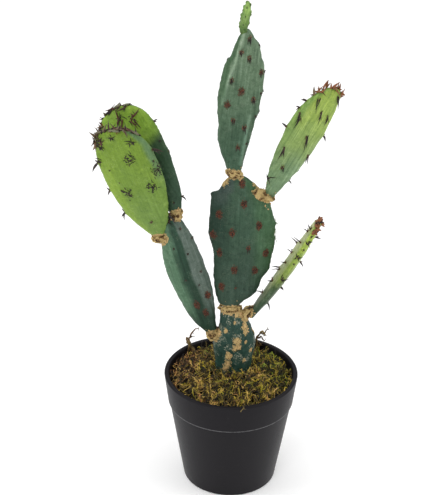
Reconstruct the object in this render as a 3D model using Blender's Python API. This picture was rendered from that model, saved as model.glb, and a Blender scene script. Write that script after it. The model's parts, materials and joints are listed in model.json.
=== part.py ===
"""A potted prickly pear cactus: nine flat pads that grow from each other's margins, the corky collars at
their joints, and a round banded pot filled with soil under a mat of moss.

Metres, +Z up. The origin is the middle of the pot's underside, and the plant's front faces -Y.
A pad grows along its own +Z, is wide along X and thick along Y.
"""

import math

import bmesh
import bpy
from mathutils import Euler, Matrix, Vector, noise

MM = 0.001
GAP = 0.3 * MM  # left between two pieces that touch

# The pot: a tapered tub with a band round its rim.
POT_HEIGHT = 117 * MM
RIM_RADIUS = 65 * MM
BAND_HEIGHT = 30.5 * MM
BAND_TAPER = 3.7 * MM  # how much narrower the band is at its lower edge
BAND_STEP = 1.6 * MM  # how far the band stands out from the wall below it
BASE_RADIUS = 45.5 * MM
LIP_WIDTH = 4.5 * MM
LIP_ROUND = 1.5 * MM
WALL = 2.5 * MM
FLOOR = 3 * MM
FOOT_ROUND = 2.5 * MM
FOOT_WIDTH = 4.5 * MM
UNDERSIDE_RECESS = 1.2 * MM
CENTRE_DISC_RADIUS = 14 * MM
POT_SIDES = 48

# What fills the pot.
MOSS_BELOW_LIP = 9 * MM  # how far under the lip the moss's edge lies
MOSS_THICKNESS = 11 * MM
FILL_SIDES = 32
MOSS_DOME = 10 * MM  # how much higher the moss stands round the trunk than at the pot's wall
MOSS_RIPPLE = 2.2 * MM
MOSS_RIPPLE_LENGTH = 22 * MM
MOSS_RINGS = 6

# The pads.
TRUNK_DEPTH = 48 * MM  # how much of the trunk is buried
TRUNK_PLACE = (1.5 * MM, 4 * MM)
PAD_SIDES = 16
RINGS_PER_STATION = 2
THICKEST_AT = 0.38  # the share of a pad's length where it is thickest
NECK_THICKNESS = 0.68  # of the full thickness, where a pad joins its parent
TIP_THICKNESS = 0.62
ROUND_OFF = 0.62  # a pad is no thicker than this share of its width, so its ends are round

# The collars.
COLLAR_WALL = 2.1 * MM  # how far a collar stands out from the neck that it holds
COLLAR_LUMP = 0.9 * MM
COLLAR_LUMP_LENGTH = 6 * MM

# A pad's seat is where its base sits on its parent: how far to the side of the parent's axis, and the share
# of the parent's length. Lean is sideways, nod is back and forth (positive to the front), turn is about the
# pad's own length, and twist is how much further the tip is turned, all in degrees. The crest is the ridge
# between the margins, -1 at the left one and 1 at the right one. The collar is the cork round the base: its
# middle in the pad's own frame, and half its width and height.
# A rib is (share of the length, left margin, right margin), the margins in millimetres from the pad's axis.
PADS = {
    "trunk_pad": {
        "length": 119 * MM,
        "thickness": 23 * MM,
        "colour": "old_skin",
        "ribs": [
            (0.00, -8, 8),
            (0.12, -13, 13),
            (0.39, -16.5, 16.5),
            (0.52, -17.5, 18.5),
            (0.65, -19.5, 21.5),
            (0.72, -17.5, 20.5),
            (0.80, -14, 17),
            (0.88, -13, 13.5),
            (0.96, -12.5, 8),
            (1.00, -8, 1),
        ],
    },
    "centre_pad": {
        "parent": "trunk_pad",
        "seat": (-4.5 * MM, 1.0),
        "lean": 2.5,
        "nod": -2,
        "turn": 0,
        "length": 138 * MM,
        "thickness": 15 * MM,
        "bow": 1 * MM,
        "collar": ((1 * MM, 0, -2 * MM), 12.5 * MM, 5 * MM),
        "colour": "mature_skin",
        "ribs": [
            (-0.01, -5, 5),
            (0.02, -10, 10),
            (0.06, -12, 14.5),
            (0.12, -14.5, 25),
            (0.23, -17, 29.5),
            (0.31, -17.7, 35.5),
            (0.42, -18.7, 37.2),
            (0.51, -22.7, 39.2),
            (0.58, -24.7, 37.3),
            (0.66, -24.2, 38.3),
            (0.75, -24, 34),
            (0.84, -24.5, 30),
            (0.865, -24, 27),
            (0.88, -17.5, 25.5),
            (0.94, -13.2, 16),
            (0.98, -8, 9),
            (1.00, -3, 4),
        ],
    },
    "top_pad": {
        "parent": "centre_pad",
        "seat": (-3.5 * MM, 1.02),
        "lean": 3.7,
        "nod": -3,
        "turn": -22,
        "twist": 46,
        "length": 141 * MM,
        "thickness": 13 * MM,
        "collar": ((0, 0, 0), 9 * MM, 5.2 * MM),
        "colour": "mature_skin",
        "ribs": [
            (-0.02, -3.5, 3.5),
            (0.01, -7, 5.8),
            (0.06, -10, 6.7),
            (0.13, -14.6, 8.3),
            (0.22, -18.4, 10.5),
            (0.33, -18.8, 13.2),
            (0.43, -21, 16),
            (0.53, -21.6, 18),
            (0.65, -20.4, 19.4),
            (0.76, -18.5, 18.2),
            (0.81, -13.8, 15.5),
            (0.885, -10.8, 13.3),
            (0.94, -8.2, 7),
            (0.98, -5.4, 3.6),
            (1.00, -3, 1.5),
        ],
    },
    "top_bud": {
        "parent": "top_pad",
        "seat": (-4 * MM, 0.965),
        "lean": 7.6,
        "nod": 6,
        "turn": -38,
        "length": 33 * MM,
        "thickness": 7 * MM,
        "colour": "bud_skin",
        "ribs": [
            (-0.04, -2, 1.5),
            (0.12, -4.2, 2.5),
            (0.36, -5, 3.4),
            (0.62, -4.5, 4),
            (0.84, -3.4, 3.2),
            (1.00, -1.2, 0.6),
        ],
    },
    "right_pad": {
        "parent": "centre_pad",
        "seat": (32.5 * MM, 0.896),
        "lean": 27.7,
        "nod": -5.7,
        "turn": 18,
        "length": 115 * MM,
        "thickness": 11.5 * MM,
        "collar": ((-6 * MM, 0, -6.5 * MM), 13.5 * MM, 6 * MM),
        "colour": "young_skin",
        "ribs": [
            (-0.05, -5, 2.5),
            (0.00, -7, 4.8),
            (0.07, -10.4, 6.8),
            (0.18, -15.1, 9.9),
            (0.30, -18.3, 13.2),
            (0.42, -20.5, 14.7),
            (0.55, -21.9, 16),
            (0.68, -21.5, 16),
            (0.80, -18.4, 14.5),
            (0.89, -13.5, 12.6),
            (0.95, -8.8, 11.2),
            (0.985, -4, 9.3),
            (1.00, 0, 5.5),
        ],
    },
    "low_right_pad": {
        "parent": "trunk_pad",
        "seat": (19.5 * MM, 0.955),
        "lean": 30.8,
        "nod": -0.5,
        "turn": 80,
        "length": 115 * MM,
        "thickness": 10.5 * MM,
        "bow": -1.5 * MM,
        "collar": ((0, 4.5 * MM, -5 * MM), 8.5 * MM, 9 * MM),
        "colour": "young_skin",
        "ribs": [
            (-0.06, -4, 4),
            (0.00, -6, 6),
            (0.12, -10.5, 11),
            (0.28, -15.5, 16.5),
            (0.46, -20, 21.5),
            (0.64, -22, 23),
            (0.79, -20.5, 20),
            (0.90, -15.5, 14.5),
            (0.97, -8, 8),
            (1.00, -3, 3),
        ],
    },
    "low_left_pad": {
        "parent": "trunk_pad",
        "seat": (-21 * MM, 0.747),
        "lean": -16.1,
        "nod": 2,
        "turn": 0,
        "length": 138 * MM,
        "thickness": 16 * MM,
        "crest": 0.3,
        "collar": ((0.5 * MM, 0, -2 * MM), 7.5 * MM, 6.2 * MM),
        "colour": "mature_skin",
        "ribs": [
            (-0.03, -2, 3),
            (0.01, -4.5, 4.8),
            (0.06, -8.2, 6.2),
            (0.13, -13.4, 8.4),
            (0.24, -17.4, 11.6),
            (0.35, -20, 14.2),
            (0.47, -22.3, 14.2),
            (0.58, -22.8, 14),
            (0.69, -21.5, 13),
            (0.775, -19.1, 11.3),
            (0.84, -17, 9.7),
            (0.91, -13.5, 7.1),
            (0.965, -8.8, 3.5),
            (1.00, -4, 0.5),
        ],
    },
    "left_front_pad": {
        "parent": "low_left_pad",
        "seat": (-19 * MM, 0.87),
        "lean": -18.6,
        "nod": 10.7,
        "turn": -12,
        "length": 127 * MM,
        "thickness": 12.5 * MM,
        "collar": ((1 * MM, 0, -4 * MM), 9 * MM, 8 * MM),
        "colour": "young_skin",
        "ribs": [
            (-0.05, -3.5, 5),
            (0.00, -6.2, 8),
            (0.07, -11.4, 12),
            (0.17, -18.2, 17.8),
            (0.29, -23.4, 23),
            (0.42, -25.8, 26.5),
            (0.56, -27.3, 29),
            (0.70, -26.7, 29.5),
            (0.81, -25.2, 27.8),
            (0.89, -22.4, 24.2),
            (0.95, -18.6, 18),
            (0.985, -13.6, 11),
            (1.00, -7, 3),
        ],
    },
    "left_back_pad": {
        "parent": "low_left_pad",
        "seat": (4 * MM, 1.0),
        "lean": -29,
        "nod": -11.8,
        "turn": -12,
        "length": 112 * MM,
        "thickness": 11.5 * MM,
        "collar": ((0, 0, -2 * MM), 6.5 * MM, 6 * MM),
        "colour": "young_skin",
        "ribs": [
            (-0.03, -3, 4),
            (0.01, -5, 6.3),
            (0.07, -8.6, 10),
            (0.18, -15, 15.6),
            (0.31, -22, 19.2),
            (0.45, -28.2, 22.4),
            (0.60, -32.1, 23.8),
            (0.73, -33, 25),
            (0.83, -31.8, 23.2),
            (0.91, -28, 19),
            (0.965, -21, 13),
            (1.00, -8, 5),
        ],
    },
}

# Name: (base colour, roughness).
FINISHES = {
    "pot_plastic": ((0.028, 0.027, 0.030), 0.55),
    "potting_soil": ((0.045, 0.028, 0.018), 0.95),
    "dry_moss": ((0.16, 0.13, 0.035), 0.95),
    "old_skin": ((0.022, 0.085, 0.065), 0.60),
    "mature_skin": ((0.045, 0.135, 0.075), 0.50),
    "young_skin": ((0.21, 0.36, 0.06), 0.50),
    "bud_skin": ((0.17, 0.32, 0.06), 0.50),
    "cork": ((0.60, 0.38, 0.17), 0.90),
}


def clear_scene():
    for thing in list(bpy.data.objects):
        bpy.data.objects.remove(thing)


def finish(name):
    """The Principled material of this name, made once."""
    material = bpy.data.materials.get(name)
    if material:
        return material
    colour, roughness = FINISHES[name]
    material = bpy.data.materials.new(name)
    material.use_nodes = True
    shader = material.node_tree.nodes["Principled BSDF"]
    shader.inputs["Base Color"].default_value = (*colour, 1)
    shader.inputs["Roughness"].default_value = roughness
    shader.inputs["Metallic"].default_value = 0
    material.diffuse_color = (*colour, 1)
    return material


def new_object(name, bm, finish_name, smooth=True):
    """Turns the bmesh into an object, with its faces pointing out."""
    bmesh.ops.recalc_face_normals(bm, faces=bm.faces)
    mesh = bpy.data.meshes.new(name)
    bm.to_mesh(mesh)
    bm.free()
    if smooth:
        mesh.shade_smooth()
        mesh.set_sharp_from_angle(angle=math.radians(40))
    mesh.materials.append(finish(finish_name))
    thing = bpy.data.objects.new(name, mesh)
    bpy.context.scene.collection.objects.link(thing)
    return thing


def as_cutter(thing):
    """A helper that only cuts other pieces."""
    thing.hide_render = True
    thing.display_type = "WIRE"
    return thing


def cut(thing, cutter):
    """Takes the cutter out of the thing."""
    modifier = thing.modifiers.new("Clear of " + cutter.name, "BOOLEAN")
    modifier.operation = "DIFFERENCE"
    modifier.solver = "EXACT"
    modifier.object = cutter


def turned(name, profile, sides, finish_name):
    """A solid turned about Z from (radius, height) points that start and end on the axis."""
    bm = bmesh.new()
    points = [bm.verts.new((radius, 0, height)) for radius, height in profile]
    edges = [bm.edges.new(pair) for pair in zip(points, points[1:])]
    bmesh.ops.spin(
        bm,
        geom=points + edges,
        cent=(0, 0, 0),
        axis=(0, 0, 1),
        angle=math.tau,
        steps=sides,
        use_merge=True,
    )
    bmesh.ops.remove_doubles(bm, verts=bm.verts, dist=0.01 * MM)
    return new_object(name, bm, finish_name)


def fillet(centre, radius, start, end, steps=3):
    """Points on an arc of a profile, its angles in degrees from the radius direction towards +Z."""
    angles = [math.radians(start + (end - start) * i / steps) for i in range(steps + 1)]
    return [(centre[0] + radius * math.cos(a), centre[1] + radius * math.sin(a)) for a in angles]


def band_foot():
    """Height of the band's lower edge, and the wall's outer radius just under it."""
    return POT_HEIGHT - BAND_HEIGHT, RIM_RADIUS - BAND_TAPER - BAND_STEP


def inner_radius(height):
    """The pot's inner radius at a height between its floor and its lip."""
    foot, wall_top = band_foot()
    lip = RIM_RADIUS - LIP_WIDTH
    if height >= foot:
        return wall_top - WALL + (lip - wall_top + WALL) * (height - foot) / BAND_HEIGHT
    return BASE_RADIUS - WALL + (wall_top - BASE_RADIUS) * height / foot


def pot_profile():
    foot, wall_top = band_foot()
    ring_inner = BASE_RADIUS - FOOT_ROUND - FOOT_WIDTH
    return [
        (0, 0),
        (CENTRE_DISC_RADIUS, 0),
        (CENTRE_DISC_RADIUS, UNDERSIDE_RECESS),
        (ring_inner, UNDERSIDE_RECESS),
        (ring_inner, 0),
        *fillet((BASE_RADIUS - FOOT_ROUND, FOOT_ROUND), FOOT_ROUND, -90, 0),
        (wall_top, foot - BAND_STEP),
        (wall_top + BAND_STEP, foot),
        *fillet((RIM_RADIUS - LIP_ROUND, POT_HEIGHT - LIP_ROUND), LIP_ROUND, 0, 90),
        *fillet((RIM_RADIUS - LIP_WIDTH + LIP_ROUND, POT_HEIGHT - LIP_ROUND), LIP_ROUND, 90, 180),
        (inner_radius(foot), foot),
        (inner_radius(FLOOR), FLOOR),
        (0, FLOOR),
    ]


def soil_top():
    return POT_HEIGHT - MOSS_BELOW_LIP - MOSS_THICKNESS


def soil_profile():
    foot, _ = band_foot()
    low = FLOOR + GAP
    return [
        (0, low),
        (inner_radius(low) - GAP, low),
        (inner_radius(foot) - GAP, foot),
        (inner_radius(soil_top()) - GAP, soil_top()),
        (0, soil_top()),
    ]


def moss_top(x, y):
    """Height of the moss above a point of the pot: a low dome with soft ripples."""
    edge = POT_HEIGHT - MOSS_BELOW_LIP
    share = min(1, math.hypot(x, y) / inner_radius(edge))
    ripple = noise.noise(Vector((x, y, 0)) / MOSS_RIPPLE_LENGTH)
    return edge + MOSS_DOME * (1 - share**2) + MOSS_RIPPLE * ripple * (1 - share**4)


def make_moss():
    """A disc of moss on the soil. Its edge follows the pot's wall, and its top is a rippled dome."""
    low, edge = soil_top() + GAP, POT_HEIGHT - MOSS_BELOW_LIP
    rings = [inner_radius(edge) * (1 - i / MOSS_RINGS) for i in range(MOSS_RINGS)]
    profile = [(0, low), (inner_radius(low) - GAP, low)]
    profile += [(radius - GAP, edge) for radius in rings] + [(0, edge)]
    moss = turned("moss", profile, FILL_SIDES, "dry_moss")
    for vertex in moss.data.vertices:
        if vertex.co.z > low + GAP:
            vertex.co.z = moss_top(vertex.co.x, vertex.co.y)
    return moss


def between(ribs, position):
    """The rib at a position counted in ribs, on a smooth curve through the listed ones."""
    first = min(int(position), len(ribs) - 2)
    part = position - first
    before, start = ribs[max(first - 1, 0)], ribs[first]
    end, after = ribs[first + 1], ribs[min(first + 2, len(ribs) - 1)]
    rib = []
    for a, b, c, d in zip(before, start, end, after):
        bend = (2 * a - 5 * b + 4 * c - d) * part + (3 * b - a - 3 * c + d) * part**2
        rib.append(b + 0.5 * part * (c - a + bend))
    return rib


def half_thickness(pad, share, width):
    """Half the pad's thickness on its crest, where the pad is this wide."""
    if share < THICKEST_AT:
        fall = (1 - NECK_THICKNESS) * (1 - share / THICKEST_AT) ** 2
    else:
        fall = (1 - TIP_THICKNESS) * ((share - THICKEST_AT) / (1 - THICKEST_AT)) ** 2
    full = pad["thickness"] / 2 * (1 - fall)
    widest = ROUND_OFF * width
    return full * widest / math.hypot(full, widest)


def pad_point(pad, rib, across, side, grow=0.0):
    """A point of the pad's skin, in the pad's own frame. Across runs from -1 at the left margin to 1 at the
    right one, side is -1 on the front face and 1 on the back, and grow moves the skin outwards."""
    share, left, right = rib
    left, right = left * MM - grow, right * MM + grow
    crest = pad.get("crest", 0.0)
    reach = (across - crest) / (1 - crest if across > crest else 1 + crest)
    thick = half_thickness(pad, min(max(share, 0), 1), right - left) + grow
    point = Vector((left + (right - left) * (across + 1) / 2, 0, share * pad["length"]))
    point.y = side * thick * math.sqrt(max(0, 1 - reach**2))
    point.rotate(Euler((0, 0, math.radians(pad.get("twist", 0)) * share)))
    point.y += pad.get("bow", 0) * math.sin(math.pi * share)
    return point


def pad_mesh(pad, grow=0.0):
    """The pad's closed skin: a flat rib, drawn out along the pad rib by rib."""
    bm = bmesh.new()
    across_of = bm.verts.layers.float.new("across")
    side_of = bm.verts.layers.float.new("side")
    bmesh.ops.create_circle(bm, cap_ends=True, segments=PAD_SIDES, radius=1)
    for vertex in bm.verts:
        vertex[across_of] = vertex.co.x
        vertex[side_of] = 1 if vertex.co.y > 0 else -1
    steps = RINGS_PER_STATION * (len(pad["ribs"]) - 1)
    end = bm.faces[:]
    for i in range(steps + 1):
        rib = between(pad["ribs"], i / RINGS_PER_STATION)
        if i:
            made = bmesh.ops.extrude_face_region(bm, geom=end)["geom"]
            if i > 1:
                bmesh.ops.delete(bm, geom=end, context="FACES_ONLY")
            end = [item for item in made if isinstance(item, bmesh.types.BMFace)]
        shift = grow / pad["length"] * (2 * i / steps - 1)
        rib[0] += shift
        for vertex in end[0].verts:
            vertex.co = pad_point(pad, rib, vertex[across_of], vertex[side_of], grow)
    return bm


def seat_point(parent, seat):
    """The point of the parent's middle plane that a pad's base sits on, in the parent's own frame."""
    sideways, share = seat
    point = Vector((sideways, 0, share * parent["length"]))
    point.rotate(Euler((0, 0, math.radians(parent.get("twist", 0)) * share)))
    point.y += parent.get("bow", 0) * math.sin(math.pi * share)
    return point


def place_of(name):
    """The matrix that puts the pad in the world: at its parent's margin, turned to its own lean."""
    pad = PADS[name]
    if "parent" not in pad:
        x, y = TRUNK_PLACE
        return Matrix.Translation((x, y, POT_HEIGHT - MOSS_BELOW_LIP + MOSS_DOME - TRUNK_DEPTH))
    start = place_of(pad["parent"]) @ seat_point(PADS[pad["parent"]], pad["seat"])
    angles = Euler([math.radians(pad[k]) for k in ("nod", "lean", "turn")], "ZXY")
    return Matrix.Translation(start) @ angles.to_matrix().to_4x4()


def make_pad(name, grow=0.0):
    """The pad or, with grow, a cutter that leaves that much room around it."""
    pad = PADS[name]
    thing = new_object(name + ("_room" if grow else ""), pad_mesh(pad, grow), pad["colour"])
    thing.matrix_world = place_of(name)
    return as_cutter(thing) if grow else thing


def collar_shape(name):
    """A joint's collar before it is cut: where its middle is, its half sizes and the turn it takes."""
    pad = PADS[name]
    place = place_of(name)
    middle, half_width, half_height = pad["collar"]
    sizes = (half_width, NECK_THICKNESS * pad["thickness"] / 2 + COLLAR_WALL, half_height)
    return place @ Vector(middle), sizes, place.to_3x3()


def make_collar(name, grow=0.0):
    """A lumpy ring of cork round the neck of a pad. With grow, a cutter that leaves room around it."""
    middle, sizes, turn = collar_shape(name)
    bm = bmesh.new()
    bmesh.ops.create_icosphere(bm, subdivisions=3, radius=1)
    for vertex in bm.verts:
        out = vertex.co.normalized()
        point = Vector([c * (size + grow) for c, size in zip(vertex.co, sizes)])
        lump = noise.noise((point + middle) / COLLAR_LUMP_LENGTH) * COLLAR_LUMP
        vertex.co = middle + turn @ (point + out * lump)
    label = name.replace("_pad", "") + "_collar" + ("_room" if grow else "")
    thing = new_object(label, bm, "cork")
    return as_cutter(thing) if grow else thing


def main():
    clear_scene()
    turned("pot", pot_profile(), POT_SIDES, "pot_plastic")
    soil = turned("soil", soil_profile(), FILL_SIDES, "potting_soil")
    moss = make_moss()

    pads = {name: make_pad(name) for name in PADS}
    rooms = {name: make_pad(name, grow=GAP) for name in PADS}
    for name, pad in PADS.items():
        if "parent" in pad:
            cut(pads[name], rooms[pad["parent"]])
    cut(soil, rooms["trunk_pad"])
    cut(moss, rooms["trunk_pad"])

    made = []
    for name, pad in PADS.items():
        if "collar" not in pad:
            continue
        collar = make_collar(name)
        middle, sizes, _ = collar_shape(name)
        for room in rooms.values():
            cut(collar, room)
        for other, other_middle, reach in made:
            if (middle - other_middle).length < max(sizes) + reach:
                cut(collar, other)
        made.append((make_collar(name, grow=GAP), middle, max(sizes)))


main()
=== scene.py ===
"""A prickly pear cactus in a round plastic pot. The pads, collars, spines, moss and pot are made on the
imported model, in metres, with +Z up and the plant's front facing -Y."""

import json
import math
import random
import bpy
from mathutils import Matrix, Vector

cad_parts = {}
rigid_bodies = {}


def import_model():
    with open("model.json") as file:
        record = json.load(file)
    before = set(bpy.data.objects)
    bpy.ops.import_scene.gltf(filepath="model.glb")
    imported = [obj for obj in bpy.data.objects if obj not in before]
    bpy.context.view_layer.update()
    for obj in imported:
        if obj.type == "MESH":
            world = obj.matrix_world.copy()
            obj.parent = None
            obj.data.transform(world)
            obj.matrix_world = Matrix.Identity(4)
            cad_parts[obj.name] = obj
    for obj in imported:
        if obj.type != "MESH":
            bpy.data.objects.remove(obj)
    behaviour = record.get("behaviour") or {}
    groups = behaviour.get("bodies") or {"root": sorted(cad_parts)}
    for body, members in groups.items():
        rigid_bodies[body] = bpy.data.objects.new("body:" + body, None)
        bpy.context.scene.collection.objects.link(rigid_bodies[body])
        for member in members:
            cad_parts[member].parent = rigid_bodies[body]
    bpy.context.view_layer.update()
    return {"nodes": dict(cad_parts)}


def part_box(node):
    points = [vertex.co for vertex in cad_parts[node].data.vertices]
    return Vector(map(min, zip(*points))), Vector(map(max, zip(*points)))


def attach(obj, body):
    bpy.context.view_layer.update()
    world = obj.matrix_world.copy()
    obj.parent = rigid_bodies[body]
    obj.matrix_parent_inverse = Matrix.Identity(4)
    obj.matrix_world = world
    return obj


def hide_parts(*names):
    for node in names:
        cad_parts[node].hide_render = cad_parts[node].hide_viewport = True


bl_info = {
    "name": "Potted prickly pear",
    "version": (1, 0, 0),
    "blender": (4, 5, 0),
    "location": "3D View > Sidebar > Prickly Pear",
    "description": "Makes the fine surface of a potted prickly pear and its stage",
    "category": "Object",
}

from collections import namedtuple

import bmesh
import bpy
import numpy as np
from bpy.props import FloatProperty, FloatVectorProperty, IntProperty, PointerProperty
from mathutils import Matrix, Vector, noise
from mathutils.bvhtree import BVHTree
from mathutils.kdtree import KDTree

noise.seed_set(1)  # noise vectors differ from run to run without this
for leftover in list(bpy.data.objects):
    bpy.data.objects.remove(leftover)
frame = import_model()
MM = 0.001
END_DEPTH = 0.02 * MM  # how far a strand's flat end lies beyond its last point
WELD = 0.01 * MM  # corners closer than this are one
DOWN = Vector((0, 0, -1))
SKY = 0.2  # a height above the pot from which a line down meets the moss first
TIP_HEART = 0.8  # share of a pad's length from where its crown fans out
COLLARS = [name for name in frame["nodes"] if name.endswith("_collar")]

# Each pad's skin, its finish, and its spine cushions. The cushions are in groups of one kind: (kind, places).
# A place is (share of the pad's length, place between its margins from -1 to 1) on the front and the back,
# and (share, margin) on the margins. More cushions are spread over the back in rows: (how many rows, kind).
# A ridge is a raised line on the front, its top lightened in the skin as a painted highlight: (one end, other
# end, height and width in millimetres). A crown of leaves round the tip is (start and end in degrees from the
# pad's axis, how many, kind).
Pad = namedtuple(
    "Pad", "skin slot front margins back rows ridges crown", defaults=[(), (), (), (0, "dot"), (), None]
)
PADS = {
    "trunk_pad": Pad("old", "old_skin"),
    "centre_pad": Pad(
        "centre", "mature_skin",
        front=[
            ("rusty", (0.955, 0.26), (0.81, 0.13), (0.72, -0.72), (0.65, 0.5), (0.59, -0.29), (0.56, -0.87)),
            ("mixed", (0.48, 0.18)),
            ("rusty", (0.44, 0.76), (0.43, -0.78), (0.31, -0.26), (0.31, 0.47), (0.17, -0.67)),
            ("slit", (0.17, -0.06)),
        ],
        margins=[("strings", (0.54, 1), (0.6, 1), (0.66, 1))],
        rows=(6, "rusty"),
    ),
    "top_pad": Pad(
        "top", "mature_skin",
        front=[
            ("mixed", (0.95, 0.38), (0.86, -0.42), (0.82, 0.19), (0.73, 0.83), (0.67, -0.5)),
            ("rusty", (0.6, 0.0)),
            ("dot", (0.59, 0.9)),
            ("mixed", (0.55, 0.63)),
            ("rusty", (0.5, -0.54)),
            ("dot", (0.44, 0.88)),
            ("mixed", (0.4, -0.19), (0.36, 0.44)),
            ("dot", (0.25, 0.8)),
            ("mixed", (0.22, 0.33)),
        ],
        margins=[("dot", (0.8, -1), (0.91, 1), (0.46, 1), (0.6, 1), (0.73, 1))],
        rows=(6, "rusty"),
        ridges=[
            ((1.0, -0.5), (0.8, -0.58), 0.7, 1.3),
            ((0.8, -0.58), (0.66, -0.7), 0.7, 1.3),
            ((0.66, -0.7), (0.5, -0.76), 0.5, 1.3),
            ((0.44, 0.62), (0.1, 0.7), 0.8, 1.4),
        ],
    ),
    "top_bud": Pad(
        "bud", "bud_skin",
        front=[("bristle", *((0.08 + 0.13 * i, 0.45 * (-1) ** i) for i in range(8)))],
        margins=[("bristle", *((0.12 + 0.14 * i, (-1) ** i) for i in range(7)))],
        rows=(5, "bristle"),
    ),
    "right_pad": Pad(
        "right", "young_skin",
        front=[
            ("hooks", (0.69, -0.74), (0.72, -0.9), (0.43, -0.74), (0.58, 0.08)),
            ("mixed", (0.28, -0.33)),
            ("hooks", (0.88, -0.62), (0.95, 0.55), (0.8, 0.04), (0.78, 0.57), (0.44, 0.75)),
            ("cluster", (0.15, -0.88)),
        ],
        margins=[
            ("finger", (0.9, -1)),
            ("stub", (0.83, -1), (0.76, -1), (0.58, -1), (0.62, 1)),
            ("dot", (0.29, 1)),
            ("stub", (0.18, 1)),
        ],
        rows=(5, "hooks"),
        crown=(-38, 42, 13, "red_leaf"),
    ),
    "low_right_pad": Pad(
        "edge", "young_skin",
        front=[
            ("stub", (0.19, -0.2), (0.35, 0.1), (0.64, -0.2), (0.87, 0.0)),
            ("hooks", (0.5, 0.6), (0.75, 0.55)),
        ],
        margins=[
            ("cluster", (0.49, -1)),
            ("dot", (0.66, -1)),
            ("cluster", (0.725, -1)),
            ("dot", (0.8, -1)),
            ("cluster", (0.86, -1)),
            ("dot", (0.92, -1)),
            ("stub", (0.3, 1), (0.6, 1), (0.8, 1)),
        ],
        back=[
            ("needle", (0.1, -0.5), (0.25, -0.3)),
            ("stub", (0.4, -0.6)),
            (
                "needle", (0.5, -0.3), (0.59, -0.5), (0.67, -0.2), (0.8, -0.5), (0.89, -0.3),
                (0.93, -0.6), (0.45, 0.5), (0.7, 0.55),
            ),
        ],
        crown=(-40, 24, 22, "nub"),
    ),
    "low_left_pad": Pad(
        "low_left", "mature_skin",
        front=[
            (
                "dot", (0.89, 0.61), (0.79, 0.93), (0.7, 0.44), (0.76, -0.25), (0.51, -0.12),
                (0.54, 0.76), (0.45, 0.43),
            ),
            ("rusty", (0.35, 0.71), (0.3, -0.07), (0.22, 0.35)),
            ("cluster", (0.96, -0.33)),
        ],
        margins=[("stub", (0.06, 1))],
        rows=(6, "dot"),
    ),
    "left_front_pad": Pad(
        "left_front", "young_skin",
        front=[
            ("tall", (0.92, -0.76)),
            ("cluster", (0.88, -0.72), (0.77, -0.88)),
            ("burst", (0.76, 0.17)),
            ("cluster", (0.89, 0.57), (0.955, -0.04)),
            ("burst", (0.62, 0.86)),
            ("dot", (0.71, 0.92)),
            ("burst", (0.5, 0.59), (0.48, -0.34)),
            ("ring", (0.2, 0.09)),
            ("bristle", (0.69, -0.63), (0.58, -0.45)),
        ],
        margins=[
            ("finger", (0.965, -1)),
            ("horn", (0.74, -1), (0.49, -1), (0.27, -1), (0.79, 1), (0.2, 1)),
            ("dot", (0.15, 1)),
        ],
        rows=(5, "burst"),
        crown=(-62, 50, 15, "curl_leaf"),
    ),
    "left_back_pad": Pad(
        "left_back", "young_skin",
        front=[
            ("twist", (0.92, 0.12), (0.87, 0.5)),
            ("dot", (0.61, 0.92), (0.12, 0.3)),
            ("cluster", (0.45, 0.45)),
            ("burst", (0.7, -0.3), (0.45, -0.3), (0.8, -0.7)),
        ],
        margins=[("stub", (0.9, -1), (0.77, 1)), ("dot", (0.5, 1)), ("stub", (0.12, 1))],
        rows=(5, "burst"),
        crown=(-78, 40, 14, "curl_leaf"),
    ),
}
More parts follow.
